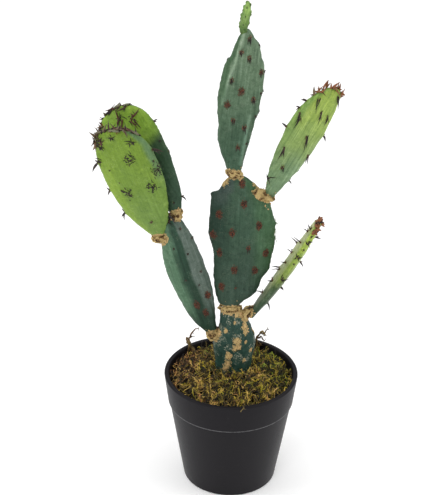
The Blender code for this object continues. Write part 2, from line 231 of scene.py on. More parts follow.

# Each skin's colours: near the base, near the tip, in the cloudy patches, on the margin and in the stains
# round its spines. The margin colour, laid where the skin turns away from the front, is painted shade on most
# pads. Then how strong its streaks, its mottling and its pale flecks are. The tints are (start and end
# between the margins, slant of those, start and end along the pad, colour, strength), painted in that order.
# The sides are (start, end, colour, strength), in metres before (less than 0) or behind the middle, and are
# painted highlights.
Skin = namedtuple("Skin", "base tip cloud rim rust streaks mottle flecks tints sides", defaults=[(), ()])
SKINS = {
    "old": Skin(
        base=(0.011, 0.043, 0.031), tip=(0.02, 0.056, 0.04), cloud=(0.06, 0.11, 0.085),
        rim=(0.01, 0.034, 0.026), rust=(0.1, 0.05, 0.03),
        streaks=0.3, mottle=1.0, flecks=0.85,
    ),
    "centre": Skin(
        base=(0.032, 0.066, 0.042), tip=(0.04, 0.088, 0.05), cloud=(0.082, 0.12, 0.086),
        rim=(0.022, 0.056, 0.032), rust=(0.135, 0.028, 0.016),
        streaks=0.5, mottle=0.7, flecks=0.06,
        tints=[
            (-0.15, -0.75, 0, 0.25, 0.6, (0.006, 0.028, 0.015), 0.9),
            (0.2, 0.7, 0, 0.1, 0.5, (0.06, 0.135, 0.06), 0.75),
            (-0.15, -0.45, 0, 0.75, 0.95, (0.062, 0.088, 0.078), 0.6),
        ],
    ),
    "top": Skin(
        base=(0.044, 0.096, 0.054), tip=(0.125, 0.196, 0.114), cloud=(0.15, 0.2, 0.14),
        rim=(0.048, 0.098, 0.05), rust=(0.105, 0.044, 0.03),
        streaks=0.8, mottle=0.7, flecks=0.06,
        # Both tints are painted shade on the side facets: the left one in the upper part, the right one in
        # the lower part.
        tints=[
            (-0.66, -0.8, 0, 0.42, 0.6, (0.052, 0.11, 0.05), 0.9),
            (0.62, 0.78, 0, 0.62, 0.3, (0.052, 0.096, 0.054), 0.75),
        ],
    ),
    "bud": Skin(
        base=(0.085, 0.16, 0.04), tip=(0.22, 0.36, 0.085), cloud=(0.33, 0.48, 0.13),
        rim=(0.11, 0.2, 0.055), rust=(0.03, 0.07, 0.02),
        streaks=0.8, mottle=1.0, flecks=0.2,
    ),
    "right": Skin(
        base=(0.155, 0.25, 0.13), tip=(0.29, 0.405, 0.07), cloud=(0.33, 0.43, 0.14),
        rim=(0.19, 0.32, 0.06), rust=(0.09, 0.065, 0.04),
        streaks=0.9, mottle=0.5, flecks=0.15,
        tints=[(-0.62, -0.88, 0, 0.35, 0.75, (0.14, 0.27, 0.06), 0.7)],
    ),
    "edge": Skin(
        base=(0.03, 0.058, 0.034), tip=(0.34, 0.46, 0.075), cloud=(0.3, 0.37, 0.16),
        rim=(0.33, 0.45, 0.075), rust=(0.1, 0.05, 0.02),
        streaks=0.9, mottle=0.7, flecks=0.15,
        tints=[(2.0, -2.0, 0, 0.52, 0.38, (0.038, 0.076, 0.042), 0.95)],
        # Painted highlights: pale faces before and behind the middle.
        sides=[(0.0015, 0.0035, (0.42, 0.43, 0.26), 0.75), (-0.0025, -0.0045, (0.42, 0.48, 0.26), 0.6)],
    ),
    "low_left": Skin(
        base=(0.013, 0.041, 0.022), tip=(0.016, 0.052, 0.028), cloud=(0.07, 0.11, 0.08),
        rim=(0.022, 0.05, 0.03), rust=(0.115, 0.028, 0.018),
        streaks=0.8, mottle=0.6, flecks=0.08,
        tints=[
            (-0.05, -0.55, 0, 0.1, 0.4, (0.096, 0.19, 0.108), 0.85),
            (0.22, 0.4, 0, 0.05, 0.45, (0.112, 0.15, 0.122), 0.85),
        ],
    ),
    "left_front": Skin(
        base=(0.15, 0.255, 0.048), tip=(0.16, 0.268, 0.024), cloud=(0.27, 0.39, 0.045),
        rim=(0.12, 0.225, 0.045), rust=(0.09, 0.06, 0.03),
        streaks=0.3, mottle=0.45, flecks=0.1,
        tints=[
            (0.72, 0.92, 0, 0.4, 0.75, (0.1, 0.19, 0.09), 0.85),
            (-0.25, -0.85, 0, 1.0, 0.45, (0.225, 0.35, 0.026), 0.7),
        ],
    ),
    "left_back": Skin(
        base=(0.05, 0.098, 0.052), tip=(0.2, 0.34, 0.036), cloud=(0.33, 0.44, 0.045),
        rim=(0.09, 0.165, 0.06), rust=(0.09, 0.06, 0.03),
        streaks=0.4, mottle=0.6, flecks=0.1,
        tints=[
            (-1.5, -0.3, 11, 1.5, 1.2, (0.027, 0.064, 0.034), 0.95),
            (2.0, -2.0, 0, 0.45, 0.25, (0.034, 0.076, 0.042), 0.9),
        ],
    ),
}

# Where cork has run over the skin: (share of the pad's length, place between its margins, radius in
# millimetres) on the trunk's front, mirrored on its back, and (share, margin, radius) on the centre pad's
# shoulders.
TRUNK_SCARS = [
    (0.71, 0.12, 5.0), (0.65, 0.05, 3.8), (0.66, 0.22, 3.5), (0.57, -0.25, 4.6), (0.5, -0.3, 4.8),
    (0.45, -0.42, 4.0), (0.84, 0.66, 4.2), (0.79, 0.62, 3.6), (0.9, 0.86, 4.4), (0.985, -0.55, 3.6),
    (0.985, 0.05, 3.2), (0.95, 0.75, 4.8), (0.94, 0.35, 2.4), (0.76, -0.92, 5.0), (0.8, -0.55, 2.8),
    (0.62, 0.8, 2.6), (0.53, 0.55, 2.4), (0.88, 0.05, 1.8), (0.7, 0.55, 1.8), (0.42, 0.1, 2.0),
    (0.36, -0.65, 2.6),
]
SHOULDER_SCARS = [
    (0.975, -1, 5.0), (0.955, -1, 4.0), (0.95, 1, 3.4), (0.925, 1, 4.4), (0.90, 1, 4.8), (0.875, 1, 4.4),
]

# How far, in millimetres, a collar's front and back sink into the pads. The skin there gets no cork.
SUNKEN = {"right_collar": 5.0}


# ----------------------------------------------------------------------------------------------------------
# Helpers


class Shader:
    """A procedural material, built node by node."""

    def __init__(self, name, roughness, specular):
        self.material = bpy.data.materials.new(name)
        self.material.use_nodes = True
        self.tree = self.material.node_tree
        self.skin = self.tree.nodes["Principled BSDF"]
        self.skin.inputs["Roughness"].default_value = roughness
        self.skin.inputs["Specular IOR Level"].default_value = specular

    def node(self, kind, *inputs, **settings):
        """Adds a node. Inputs are values or sockets, in the node's order, and None leaves one as it is."""
        node = self.tree.nodes.new(kind)
        for name, value in settings.items():
            setattr(node, name, value)
        for socket, value in zip(node.inputs, inputs):
            self.feed(socket, value)
        return node

    def feed(self, socket, value):
        if isinstance(value, bpy.types.NodeSocket):
            self.tree.links.new(value, socket)
        elif value is not None:
            if socket.type == "RGBA" and len(value) == 3:
                value = (*value, 1)
            socket.default_value = value

    def math(self, operation, a, b, clamp=False):
        return self.node("ShaderNodeMath", a, b, operation=operation, use_clamp=clamp).outputs[0]

    def times(self, a, b):
        return self.math("MULTIPLY", a, b)

    def plus(self, a, b):
        return self.math("ADD", a, b)

    def wave(self, value, height):
        """A noise, made to run to and fro about zero."""
        return self.times(self.math("SUBTRACT", value, 0.5), height)

    def over(self, colour, tint, mask, strength, blend="MIX"):
        """The colour, with the tint over it where the mask is."""
        return self.mix(self.times(mask, strength), colour, tint, blend)

    def mix(self, factor, a, b, blend="MIX"):
        node = self.node("ShaderNodeMix", data_type="RGBA", blend_type=blend)
        self.feed(node.inputs["Factor"], factor)
        self.feed(node.inputs["A"], a)
        self.feed(node.inputs["B"], b)
        return node.outputs["Result"]

    def step(self, value, start, end):
        """0 before start and 1 after end, with a smooth rise between. The start may be above the end."""
        if start > end:
            return self.math("SUBTRACT", 1.0, self.step(value, end, start))
        return self.node("ShaderNodeMapRange", value, start, end, interpolation_type="SMOOTHSTEP").outputs[0]

    def between(self, value, start, end, low, high):
        """From low to high in a straight line as the value goes from start to end."""
        return self.node("ShaderNodeMapRange", value, start, end, low, high).outputs[0]

    def attribute(self, name, output="Fac"):
        return self.node("ShaderNodeAttribute", attribute_name=name).outputs[output]

    def object_place(self):
        return self.node("ShaderNodeTexCoord").outputs["Object"]

    def stretched(self, vector, scale):
        return self.node("ShaderNodeMapping", vector, None, None, scale).outputs[0]

    def noise(self, vector, scale, detail, roughness, distortion=0.0):
        node = self.node("ShaderNodeTexNoise")
        names = "Vector", "Scale", "Detail", "Roughness", "Distortion"
        for name, value in zip(names, (vector, scale, detail, roughness, distortion)):
            self.feed(node.inputs[name], value)
        return node.outputs["Fac"]

    def ramp(self, value, *stops):
        """A colour ramp through (position, colour) stops."""
        node = self.node("ShaderNodeValToRGB", value)
        elements = node.color_ramp.elements
        while len(elements) < len(stops):
            elements.new(0.5)
        for element, (position, colour) in zip(elements, stops):
            element.position = position
            element.color = (*colour, 1)
        return node.outputs["Color"]

    def bump(self, height, strength, distance):
        node = self.node("ShaderNodeBump")
        node.inputs["Strength"].default_value = strength
        node.inputs["Distance"].default_value = distance
        self.feed(node.inputs["Height"], height)
        self.feed(self.skin.inputs["Normal"], node.outputs[0])

    def colour(self, value):
        self.feed(self.skin.inputs["Base Color"], value)

    def rough(self, value):
        self.feed(self.skin.inputs["Roughness"], value)


def linked(name, mesh):
    thing = bpy.data.objects.new(name, mesh)
    bpy.context.scene.collection.objects.link(thing)
    return thing


def finished(name, mesh, material, slot, *nodes):
    """Makes the mesh a piece, in place of the CAD nodes named."""
    mesh.materials.clear()
    mesh.materials.append(material)
    mesh.polygons.foreach_set("material_index", [0] * len(mesh.polygons))
    piece = linked(name, mesh)
    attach(piece, "root")
    if nodes:
        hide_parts(*nodes)


def as_mesh(bm, name):
    mesh = bpy.data.meshes.new(name)
    bm.to_mesh(mesh)
    bm.free()
    return mesh


def merged_copy(node):
    """A copy of a CAD node's mesh with its loose triangles joined."""
    bm = bmesh.new()
    bm.from_mesh(frame["nodes"][node].data)
    bmesh.ops.remove_doubles(bm, verts=bm.verts, dist=WELD)
    return as_mesh(bm, node + "_copy")


def evaluated(thing, name):
    """The object's mesh with its modifiers applied. The object itself is removed."""
    graph = bpy.context.evaluated_depsgraph_get()
    mesh = bpy.data.meshes.new_from_object(thing.evaluated_get(graph))
    mesh.name = name
    bpy.data.objects.remove(thing)
    return mesh


def remeshed(mesh, name, voxel, rounds):
    """An even mesh over the same shape, with its facets smoothed away."""
    thing = linked(name, mesh)
    remesh = thing.modifiers.new("Even", "REMESH")
    remesh.mode = "VOXEL"
    remesh.voxel_size = voxel
    smooth = thing.modifiers.new("Smooth", "SMOOTH")
    smooth.factor = 0.5
    smooth.iterations = rounds
    made = evaluated(thing, name)
    made.shade_smooth()
    return made


def vectors(items, name):
    values = np.empty(len(items) * 3, np.float32)
    items.foreach_get(name, values)
    return values.reshape(-1, 3).astype(float)


def vertex_places(mesh):
    return vectors(mesh.vertices, "co")


def vertex_normals(mesh):
    return vectors(mesh.vertex_normals, "vector")


def move_vertices(mesh, places):
    mesh.vertices.foreach_set("co", places.astype(np.float32).ravel())
    mesh.update()


def keep_values(mesh, name, values):
    """Stores one number or one vector for each vertex, for the material to read."""
    flat = np.asarray(values, np.float32)
    vector = flat.ndim == 2
    layer = mesh.attributes.new(name, "FLOAT_VECTOR" if vector else "FLOAT", "POINT")
    layer.data.foreach_set("vector" if vector else "value", flat.ravel())


def grain(places, length, seed=0.0):
    """Smooth noise from about -1 to 1 at each place, in patches of about this length."""
    shift = Vector((seed, 2 * seed, 3 * seed))
    return np.array([noise.noise(Vector(p) / length + shift) for p in places])


def falloff(places, centres, radii):
    """How near each place is to the nearest centre: 1 on it, and close to 0 two radii away."""
    near = np.zeros(len(places))
    for centre, radius in zip(centres, radii):
        gap = np.linalg.norm(places - np.array(centre), axis=1)
        near = np.maximum(near, np.exp(-((gap / radius) ** 2)))
    return near


def patches(shape, own, centres, radii, strengths, slim=0.78):
    """Like falloff, in the pad's own coordinates: each patch is slimmer than it is long."""
    fit = np.array((1 / slim, 1, slim))
    spots = [(np.array(c) - shape.middle) @ shape.axes.T * fit for c in centres]
    near = np.zeros(len(own))
    for spot, radius, strength in zip(spots, radii, strengths):
        near = np.maximum(near, strength * falloff(own * fit, [spot], [radius]))
    return near


def sides_to(a, b, value):
    """0 before a and 1 after b, with a smooth rise between."""
    part = np.clip((value - a) / (b - a), 0, 1)
    return part * part * (3 - 2 * part)


def surface(mesh):
    """A lookup of the mesh's surface."""
    return BVHTree.FromPolygons([v.co for v in mesh.vertices], [tuple(p.vertices) for p in mesh.polygons])


class PadShape:
    """Where a pad lies: its own axes, its length and its margins, measured on its surface.
    Its length is along its third axis, its width along its first, and its front faces against its second."""

    BINS = 60

    def __init__(self, mesh):
        centres, areas = vectors(mesh.polygons, "center"), np.empty(len(mesh.polygons), np.float32)
        mesh.polygons.foreach_get("area", areas)
        self.middle = (centres * areas[:, None]).sum(0) / areas.sum()
        spread = centres - self.middle
        _, axes = np.linalg.eigh((spread * areas[:, None]).T @ spread)
        through, along = axes[:, 0], axes[:, 2]
        through = through * (1 if through[1] > 0 else -1)
        along = along * (1 if along[2] > 0 else -1)
        self.axes = np.stack([np.cross(through, along), through, along])
        places = (vertex_places(mesh) - self.middle) @ self.axes.T
        self.low, self.high = places[:, 2].min(), places[:, 2].max()
        self.left, self.right = self.measured_margins(places)
        self.tree = surface(mesh)

    def measured_margins(self, places):
        shares = (places[:, 2] - self.low) / (self.high - self.low)
        bins = np.clip((shares * self.BINS).astype(int), 0, self.BINS - 1)
        left, right = np.full(self.BINS, 1.0), np.full(self.BINS, -1.0)
        np.minimum.at(left, bins, places[:, 0])
        np.maximum.at(right, bins, places[:, 0])
        return left, right

    def margins(self, share):
        at = (np.arange(self.BINS) + 0.5) / self.BINS
        return np.interp(share, at, self.left), np.interp(share, at, self.right)

    def shares(self, places):
        """Each place's own coordinates, its share of the length, and its place between the margins."""
        own = (places - self.middle) @ self.axes.T
        share = (own[:, 2] - self.low) / (self.high - self.low)
        left, right = self.margins(share)
        across = np.clip((own[:, 0] - left) / (right - left) * 2 - 1, -1, 1)
        return own, share, across

    def world(self, x, y, z):
        return Vector(self.middle + np.array((x, y, z)) @ self.axes)

    def height(self, share):
        return self.low + (self.high - self.low) * share

    def met(self, start, aim, near):
        """The surface point and normal that the line meets first, or else the nearest to another point."""
        point, normal, _, _ = self.tree.ray_cast(start, aim)
        if point is None:
            point, normal, _, _ = self.tree.find_nearest(near)
        return point, normal

    def on_face(self, share, across, side):
        """The surface point and normal on the front (side -1) or the back (side 1)."""
        left, right = self.margins(share)
        x, z = left + (right - left) * (across + 1) / 2, self.height(share)
        return self.met(self.world(x, side * 0.1, z), Vector(self.axes[1]) * -side, self.world(x, 0, z))

    def on_rim(self, angle, through):
        """The surface point and normal that a line from inside the tip meets, at an angle from the axis."""
        left, right = self.margins(TIP_HEART)
        start = self.world((left + right) / 2, through, self.height(TIP_HEART))
        aim = Vector(self.axes[2]) * math.cos(angle) + Vector(self.axes[0]) * math.sin(angle)
        return self.met(start, aim, start + aim * 10 * MM)

    def on_margin(self, share, side):
        """The surface point and normal on the left (-1) or right (1) margin."""
        left, right = self.margins(share)
        x = (right if side > 0 else left) + side * 2 * MM
        point, normal, _, _ = self.tree.find_nearest(self.world(x, 0, self.height(share)))
        return point, normal


pad_shapes = {}


def crests(shape, own, normals, ridges):
    """Where raised lines run along a pad's front: 1 on their tops, and how high they stand there."""
    crest, lift = np.zeros(len(own)), np.zeros(len(own))
    flat = own[:, (0, 2)]
    for (u0, v0), (u1, v1), height, width in ridges:
        ends = []
        for u, v in ((u0, v0), (u1, v1)):
            left, right = shape.margins(u)
            ends.append(np.array((left + (right - left) * (v + 1) / 2, shape.height(u))))
        line = ends[1] - ends[0]
        part = np.clip((flat - ends[0]) @ line / (line @ line), 0, 1)
        gap = np.linalg.norm(flat - ends[0] - part[:, None] * line, axis=1)
        here = np.exp(-((gap / (width * MM)) ** 2)) * sides_to(0.1, -0.3, normals @ shape.axes[1])
        crest = np.maximum(crest, here)
        lift = np.maximum(lift, here * height * MM)
    return crest, lift


def lattice(rows, seed):
    """Evenly spread places on a pad's back, in staggered rows."""
    chance = random.Random(seed)
    places = []
    for row in range(rows):
        share = 0.16 + 0.74 * row / max(1, rows - 1)
        count = 2 + row % 2
        for i in range(count):
            across = (i - (count - 1) / 2) * 0.62
            places.append((share + chance.uniform(-0.02, 0.02), across + chance.uniform(-0.06, 0.06)))
    return places


def cushions(name):
    """Every spine cushion of the pad: (point, normal, kind)."""
    pad, shape = PADS[name], pad_shapes[name]
    rows, kind = pad.rows
    faces = [(group, -1) for group in pad.front]
    backs = [(group, 1) for group in (*pad.back, (kind, *lattice(rows, name)))]
    found = [(*shape.on_face(*place, side), kind) for (kind, *places), side in faces for place in places]
    found += [(*shape.on_margin(*place), kind) for kind, *places in pad.margins for place in places]
    found += [(*shape.on_face(*place, side), kind) for (kind, *places), side in backs for place in places]
    return found


# How strongly each kind of cushion stains the skin round it, and how far, in millimetres.
STAINS = {
    "rusty": (1.0, 4.6),
    "mixed": (0.85, 3.3),
    "dot": (0.75, 1.6),
    "slit": (0.8, 1.8),
    "hooks": (0.6, 1.9),
    "burst": (0.5, 2.8),
    "cluster": (0.6, 2.2),
    "tall": (0.6, 2.6),
    "twist": (0.6, 2.6),
    "ring": (0.8, 2.0),
    "bristle": (0.75, 1.3),
    "stub": (0.6, 1.9),
    "horn": (0.7, 2.4),
    "finger": (0.4, 1.6),
    "needle": (0.6, 1.7),
    "strings": (0.0, 1.0),
}


def tube_mesh(name, lines, sides=6):
    """One mesh of round strands with flat ends. Each line is (points, radii, tint)."""
    curve = bpy.data.curves.new(name, "CURVE")
    curve.dimensions = "3D"
    curve.bevel_depth = 1.0
    curve.bevel_resolution = (sides - 4) // 2
    for points, radii, _ in lines:
        before = points[0] + (points[0] - points[1]).normalized() * END_DEPTH
        after = points[-1] + (points[-1] - points[-2]).normalized() * END_DEPTH
        spline = curve.splines.new("POLY")
        spline.points.add(len(points) + 1)
        spline.points.foreach_set("co", [c for p in (before, *points, after) for c in (*p, 1.0)])
        spline.points.foreach_set("radius", [0, *radii, 0])
    mesh = evaluated(linked(name, curve), name)
    bpy.data.curves.remove(curve)
    rings = np.array([len(points) + 2 for points, _, _ in lines])
    if sum(rings) * sides != len(mesh.vertices):
        raise RuntimeError(f"{name}: {len(mesh.vertices)} vertices for {sum(rings) * sides} expected")
    keep_values(mesh, "tint", np.repeat([tint for _, _, tint in lines], rings * sides))
    keep_values(mesh, "reach", np.concatenate([np.repeat(np.linspace(0, 1, n), sides) for n in rings]))
    light = np.random.default_rng(len(lines)).uniform(0, 1, len(lines))
    keep_values(mesh, "light", np.repeat(light, rings * sides))
    bm = bmesh.new()
    bm.from_mesh(mesh)
    bmesh.ops.remove_doubles(bm, verts=bm.verts, dist=END_DEPTH / 20)
    bmesh.ops.recalc_face_normals(bm, faces=bm.faces)
    bm.to_mesh(mesh)
    bm.free()
    mesh.shade_smooth()
    return mesh


def spine(start, aim, length, thick, bow, tint, points=6, leaf=False):
    """One spine or one small leaf, as (points, radii, tint). Bow is how far its tip is bent aside."""
    aim = aim.normalized()
    start = start - aim * 0.5 * thick
    shares = [i / (points - 1) for i in range(points)]
    places = [start + aim * (length * s) + bow * (s * s) for s in shares]
    if leaf:
        radii = [thick * max(0.12, (0.5 + 0.6 * math.sin(math.pi * s)) * (1 - s) ** 0.4) for s in shares]
    else:
        radii = [thick * (1 - 0.85 * s**1.5) for s in shares]
    return places, radii, tint


DARK, BROWN, RUST, RED, GREY, PALE = 0.0, 0.2, 0.4, 0.6, 0.8, 1.0
Brush = namedtuple("Brush", "count short long radius spread flat rise curl tint droop", defaults=[0.0])

# What grows from each kind of cushion: how many strands, their least and greatest length, their radius and
# how far from the middle they start, all in millimetres, how flat they lie (1 is along the skin), how much
# they climb or hang (-1), how much they curl, their tint, and how much their tips droop.
KINDS = {
    "rusty": [
        Brush(34, 0.8, 1.8, 0.22, 2.7, 0.65, 0.0, 0.2, RUST),
        Brush(12, 0.9, 2.0, 0.34, 2.5, 0.75, 0.0, 0.3, DARK),
        Brush(5, 1.6, 3.0, 0.34, 1.6, 0.80, 0.4, 0.5, BROWN),
    ],
    "mixed": [
        Brush(14, 0.7, 1.7, 0.22, 2.0, 0.60, 0.0, 0.2, RUST),
        Brush(5, 2.6, 4.6, 0.50, 1.6, 0.85, -0.85, 0.6, DARK),
        Brush(6, 0.8, 1.6, 0.30, 2.2, 0.70, 0.0, 0.2, GREY),
    ],
    "dot": [
        Brush(8, 0.6, 1.2, 0.18, 0.6, 0.60, 0.0, 0.2, BROWN),
        Brush(4, 1.2, 2.4, 0.42, 0.4, 0.70, -0.4, 0.3, DARK),
    ],
    "slit": [
        Brush(2, 3.0, 3.8, 0.40, 0.3, 0.92, 1.0, 0.2, DARK),
        Brush(8, 0.6, 1.2, 0.18, 0.8, 0.60, 0.0, 0.2, RUST),
    ],
    "hooks": [
        Brush(2, 6.5, 8.5, 0.66, 1.7, 0.86, -0.93, 0.8, DARK, 0.1),
        Brush(1, 4.0, 5.5, 0.55, 1.5, 0.80, -0.90, 0.8, BROWN, 0.1),
        Brush(9, 0.6, 1.4, 0.24, 1.4, 0.60, 0.0, 0.2, BROWN),
    ],
    "burst": [
        Brush(17, 1.4, 3.0, 0.46, 6.0, 0.92, 0.3, 1.0, DARK),
        Brush(8, 0.8, 1.6, 0.42, 6.5, 0.80, 0.0, 0.3, DARK),
        Brush(4, 2.2, 3.4, 0.56, 1.5, 0.85, 0.0, 0.8, DARK),
        Brush(10, 0.6, 1.4, 0.24, 4.0, 0.80, 0.0, 0.3, BROWN),
    ],
    "cluster": [
        Brush(8, 2.0, 4.2, 0.52, 2.4, 0.85, 0.0, 0.7, DARK),
        Brush(12, 0.7, 1.6, 0.22, 2.0, 0.70, 0.0, 0.3, BROWN),
    ],
    "tall": [
        Brush(5, 4.0, 7.0, 0.75, 3.6, 0.90, 0.85, 1.6, BROWN),
        Brush(14, 1.4, 3.2, 0.50, 5.0, 0.90, 0.6, 1.0, DARK),
        Brush(12, 0.8, 1.8, 0.22, 2.4, 0.70, 0.0, 0.3, RUST),
    ],
    "twist": [
        Brush(3, 3.5, 5.5, 0.95, 3.0, 0.96, 0.40, 2.8, BROWN),
        Brush(2, 3.5, 5.0, 0.90, 3.0, 0.96, -0.4, 2.8, BROWN),
        Brush(9, 1.6, 3.2, 0.50, 4.0, 0.88, 0.0, 1.2, DARK),
        Brush(12, 0.8, 1.6, 0.22, 1.8, 0.70, 0.0, 0.3, BROWN),
    ],
    "ring": [
        Brush(9, 1.2, 2.2, 0.34, 1.5, 0.60, 0.0, 0.4, BROWN),
        Brush(5, 1.2, 2.2, 0.34, 1.0, 0.60, 0.0, 0.4, GREY),
    ],
    "bristle": [Brush(8, 0.6, 1.4, 0.18, 0.9, 0.70, 0.0, 0.2, BROWN)],
    "stub": [
        Brush(1, 5.0, 6.5, 0.95, 0.1, 0.20, -0.4, 0.5, DARK, 0.35),
        Brush(1, 3.0, 4.5, 0.70, 0.6, 0.45, 0.3, 0.6, BROWN),
        Brush(9, 0.8, 1.6, 0.22, 0.7, 0.50, 0.0, 0.2, BROWN),
    ],
    "horn": [
        Brush(2, 6.0, 8.5, 1.15, 0.6, 0.30, -0.6, 0.8, DARK, 0.4),
        Brush(1, 3.0, 4.5, 0.80, 0.8, 0.45, 0.4, 0.8, BROWN),
        Brush(9, 0.8, 1.8, 0.30, 1.2, 0.50, 0.0, 0.2, BROWN),
    ],
    "finger": [
        Brush(1, 7.5, 8.5, 1.20, 0.1, 0.30, 0.9, 0.3, GREY),
        Brush(2, 2.5, 4.0, 0.60, 0.8, 0.50, -0.5, 0.4, BROWN),
    ],
    "needle": [
        Brush(1, 6.0, 8.5, 0.62, 0.1, 0.25, 0.0, 0.35, DARK, 0.15),
        Brush(2, 2.0, 3.5, 0.60, 0.6, 0.50, 0.2, 0.5, BROWN),
        Brush(9, 0.8, 1.6, 0.24, 0.9, 0.55, 0.0, 0.2, RUST),
    ],
    "strings": [Brush(5, 3.0, 6.0, 0.22, 1.2, 0.75, 0.0, 0.6, PALE)],
    "red_leaf": [
        Brush(1, 5.0, 8.5, 1.15, 0.3, 0.35, 0.5, 0.6, RED),
        Brush(1, 3.0, 5.5, 0.95, 0.8, 0.50, 0.2, 0.8, RED),
        Brush(1, 3.0, 5.0, 0.60, 0.8, 0.50, 0.2, 0.8, BROWN),
        Brush(5, 0.8, 1.8, 0.24, 1.2, 0.60, 0.0, 0.3, RUST),
    ],
    "curl_leaf": [
        Brush(1, 3.5, 5.5, 1.30, 1.0, 0.70, 0.0, 2.0, GREY),
        Brush(1, 3.2, 5.0, 1.10, 2.0, 0.75, 0.0, 2.2, BROWN),
        Brush(3, 2.5, 4.0, 0.85, 2.6, 0.80, 0.0, 1.6, DARK),
        Brush(7, 0.8, 1.8, 0.32, 2.6, 0.60, 0.0, 0.3, RUST),
    ],
    "nub": [
        Brush(1, 3.4, 5.4, 1.60, 0.8, 0.25, 0.2, 0.4, RED),
        Brush(1, 2.6, 4.6, 0.95, 1.4, 0.40, 0.1, 0.6, DARK),
        Brush(5, 0.8, 1.8, 0.26, 1.2, 0.60, 0.0, 0.3, RUST),
    ],
}
BROAD = 0.6  # a strand thicker than this, in millimetres, bulges like a small leaf


def along_skin(normal, chance):
    """A random direction along the skin."""
    side = normal.orthogonal().normalized()
    side.rotate(Matrix.Rotation(chance.uniform(0, math.tau), 3, normal))
    return side


def grown(shape, point, normal, kind, chance, scale):
    """The strands of one cushion."""
    up = Vector(shape.axes[2]) + Vector((0, 0, 1))
    up = (up - normal * up.dot(normal)).normalized()
    made = []
    for brush in KINDS[kind]:
        for _ in range(brush.count):
            apart = along_skin(normal, chance) * math.sqrt(chance.random()) + up * chance.gauss(0, 0.25)
            start, skyward, _, _ = shape.tree.find_nearest(point + apart * brush.spread * scale * MM)
            lie = along_skin(skyward, chance) * (1 - abs(brush.rise)) + up * brush.rise
            lie.normalize()
            aim = skyward * (1 - brush.flat) + lie * brush.flat
            length = chance.uniform(brush.short, brush.long) * scale * MM
            bow = (lie * 0.4 + along_skin(skyward, chance) * 0.5) * brush.curl * length
            bow = bow - up * brush.droop * length
            tint = brush.tint + chance.uniform(-0.07, 0.07)
            thick = brush.radius * chance.uniform(0.8, 1.2) * (0.5 + 0.5 * scale)
            leaf = brush.radius > BROAD
            points = 3 if brush.long < 2 else 7
            made.append(spine(start, aim, length, thick * MM, bow, max(0, tint), points, leaf))
    return made


def crown_leaves(name, chance):
    """The small reddish leaves and dark spines round a young pad's tip."""
    shape = pad_shapes[name]
    start, end, count, kind = PADS[name].crown
    made = []
    for i in range(count):
        angle = math.radians(start + (end - start) * (i + chance.uniform(0.1, 0.9)) / count)
        point, normal = shape.on_rim(angle, chance.uniform(-3, 3) * MM)
        made += grown(shape, point, normal, kind, chance, 1)
    return made


# ----------------------------------------------------------------------------------------------------------
# Materials


FLECK_COLOUR = (0.58, 0.57, 0.42)
# Dark brown: painted shade in the cork's hollows, and dark patches in the cork that runs over the skin.
CREVICE_COLOUR = (0.20, 0.115, 0.045)


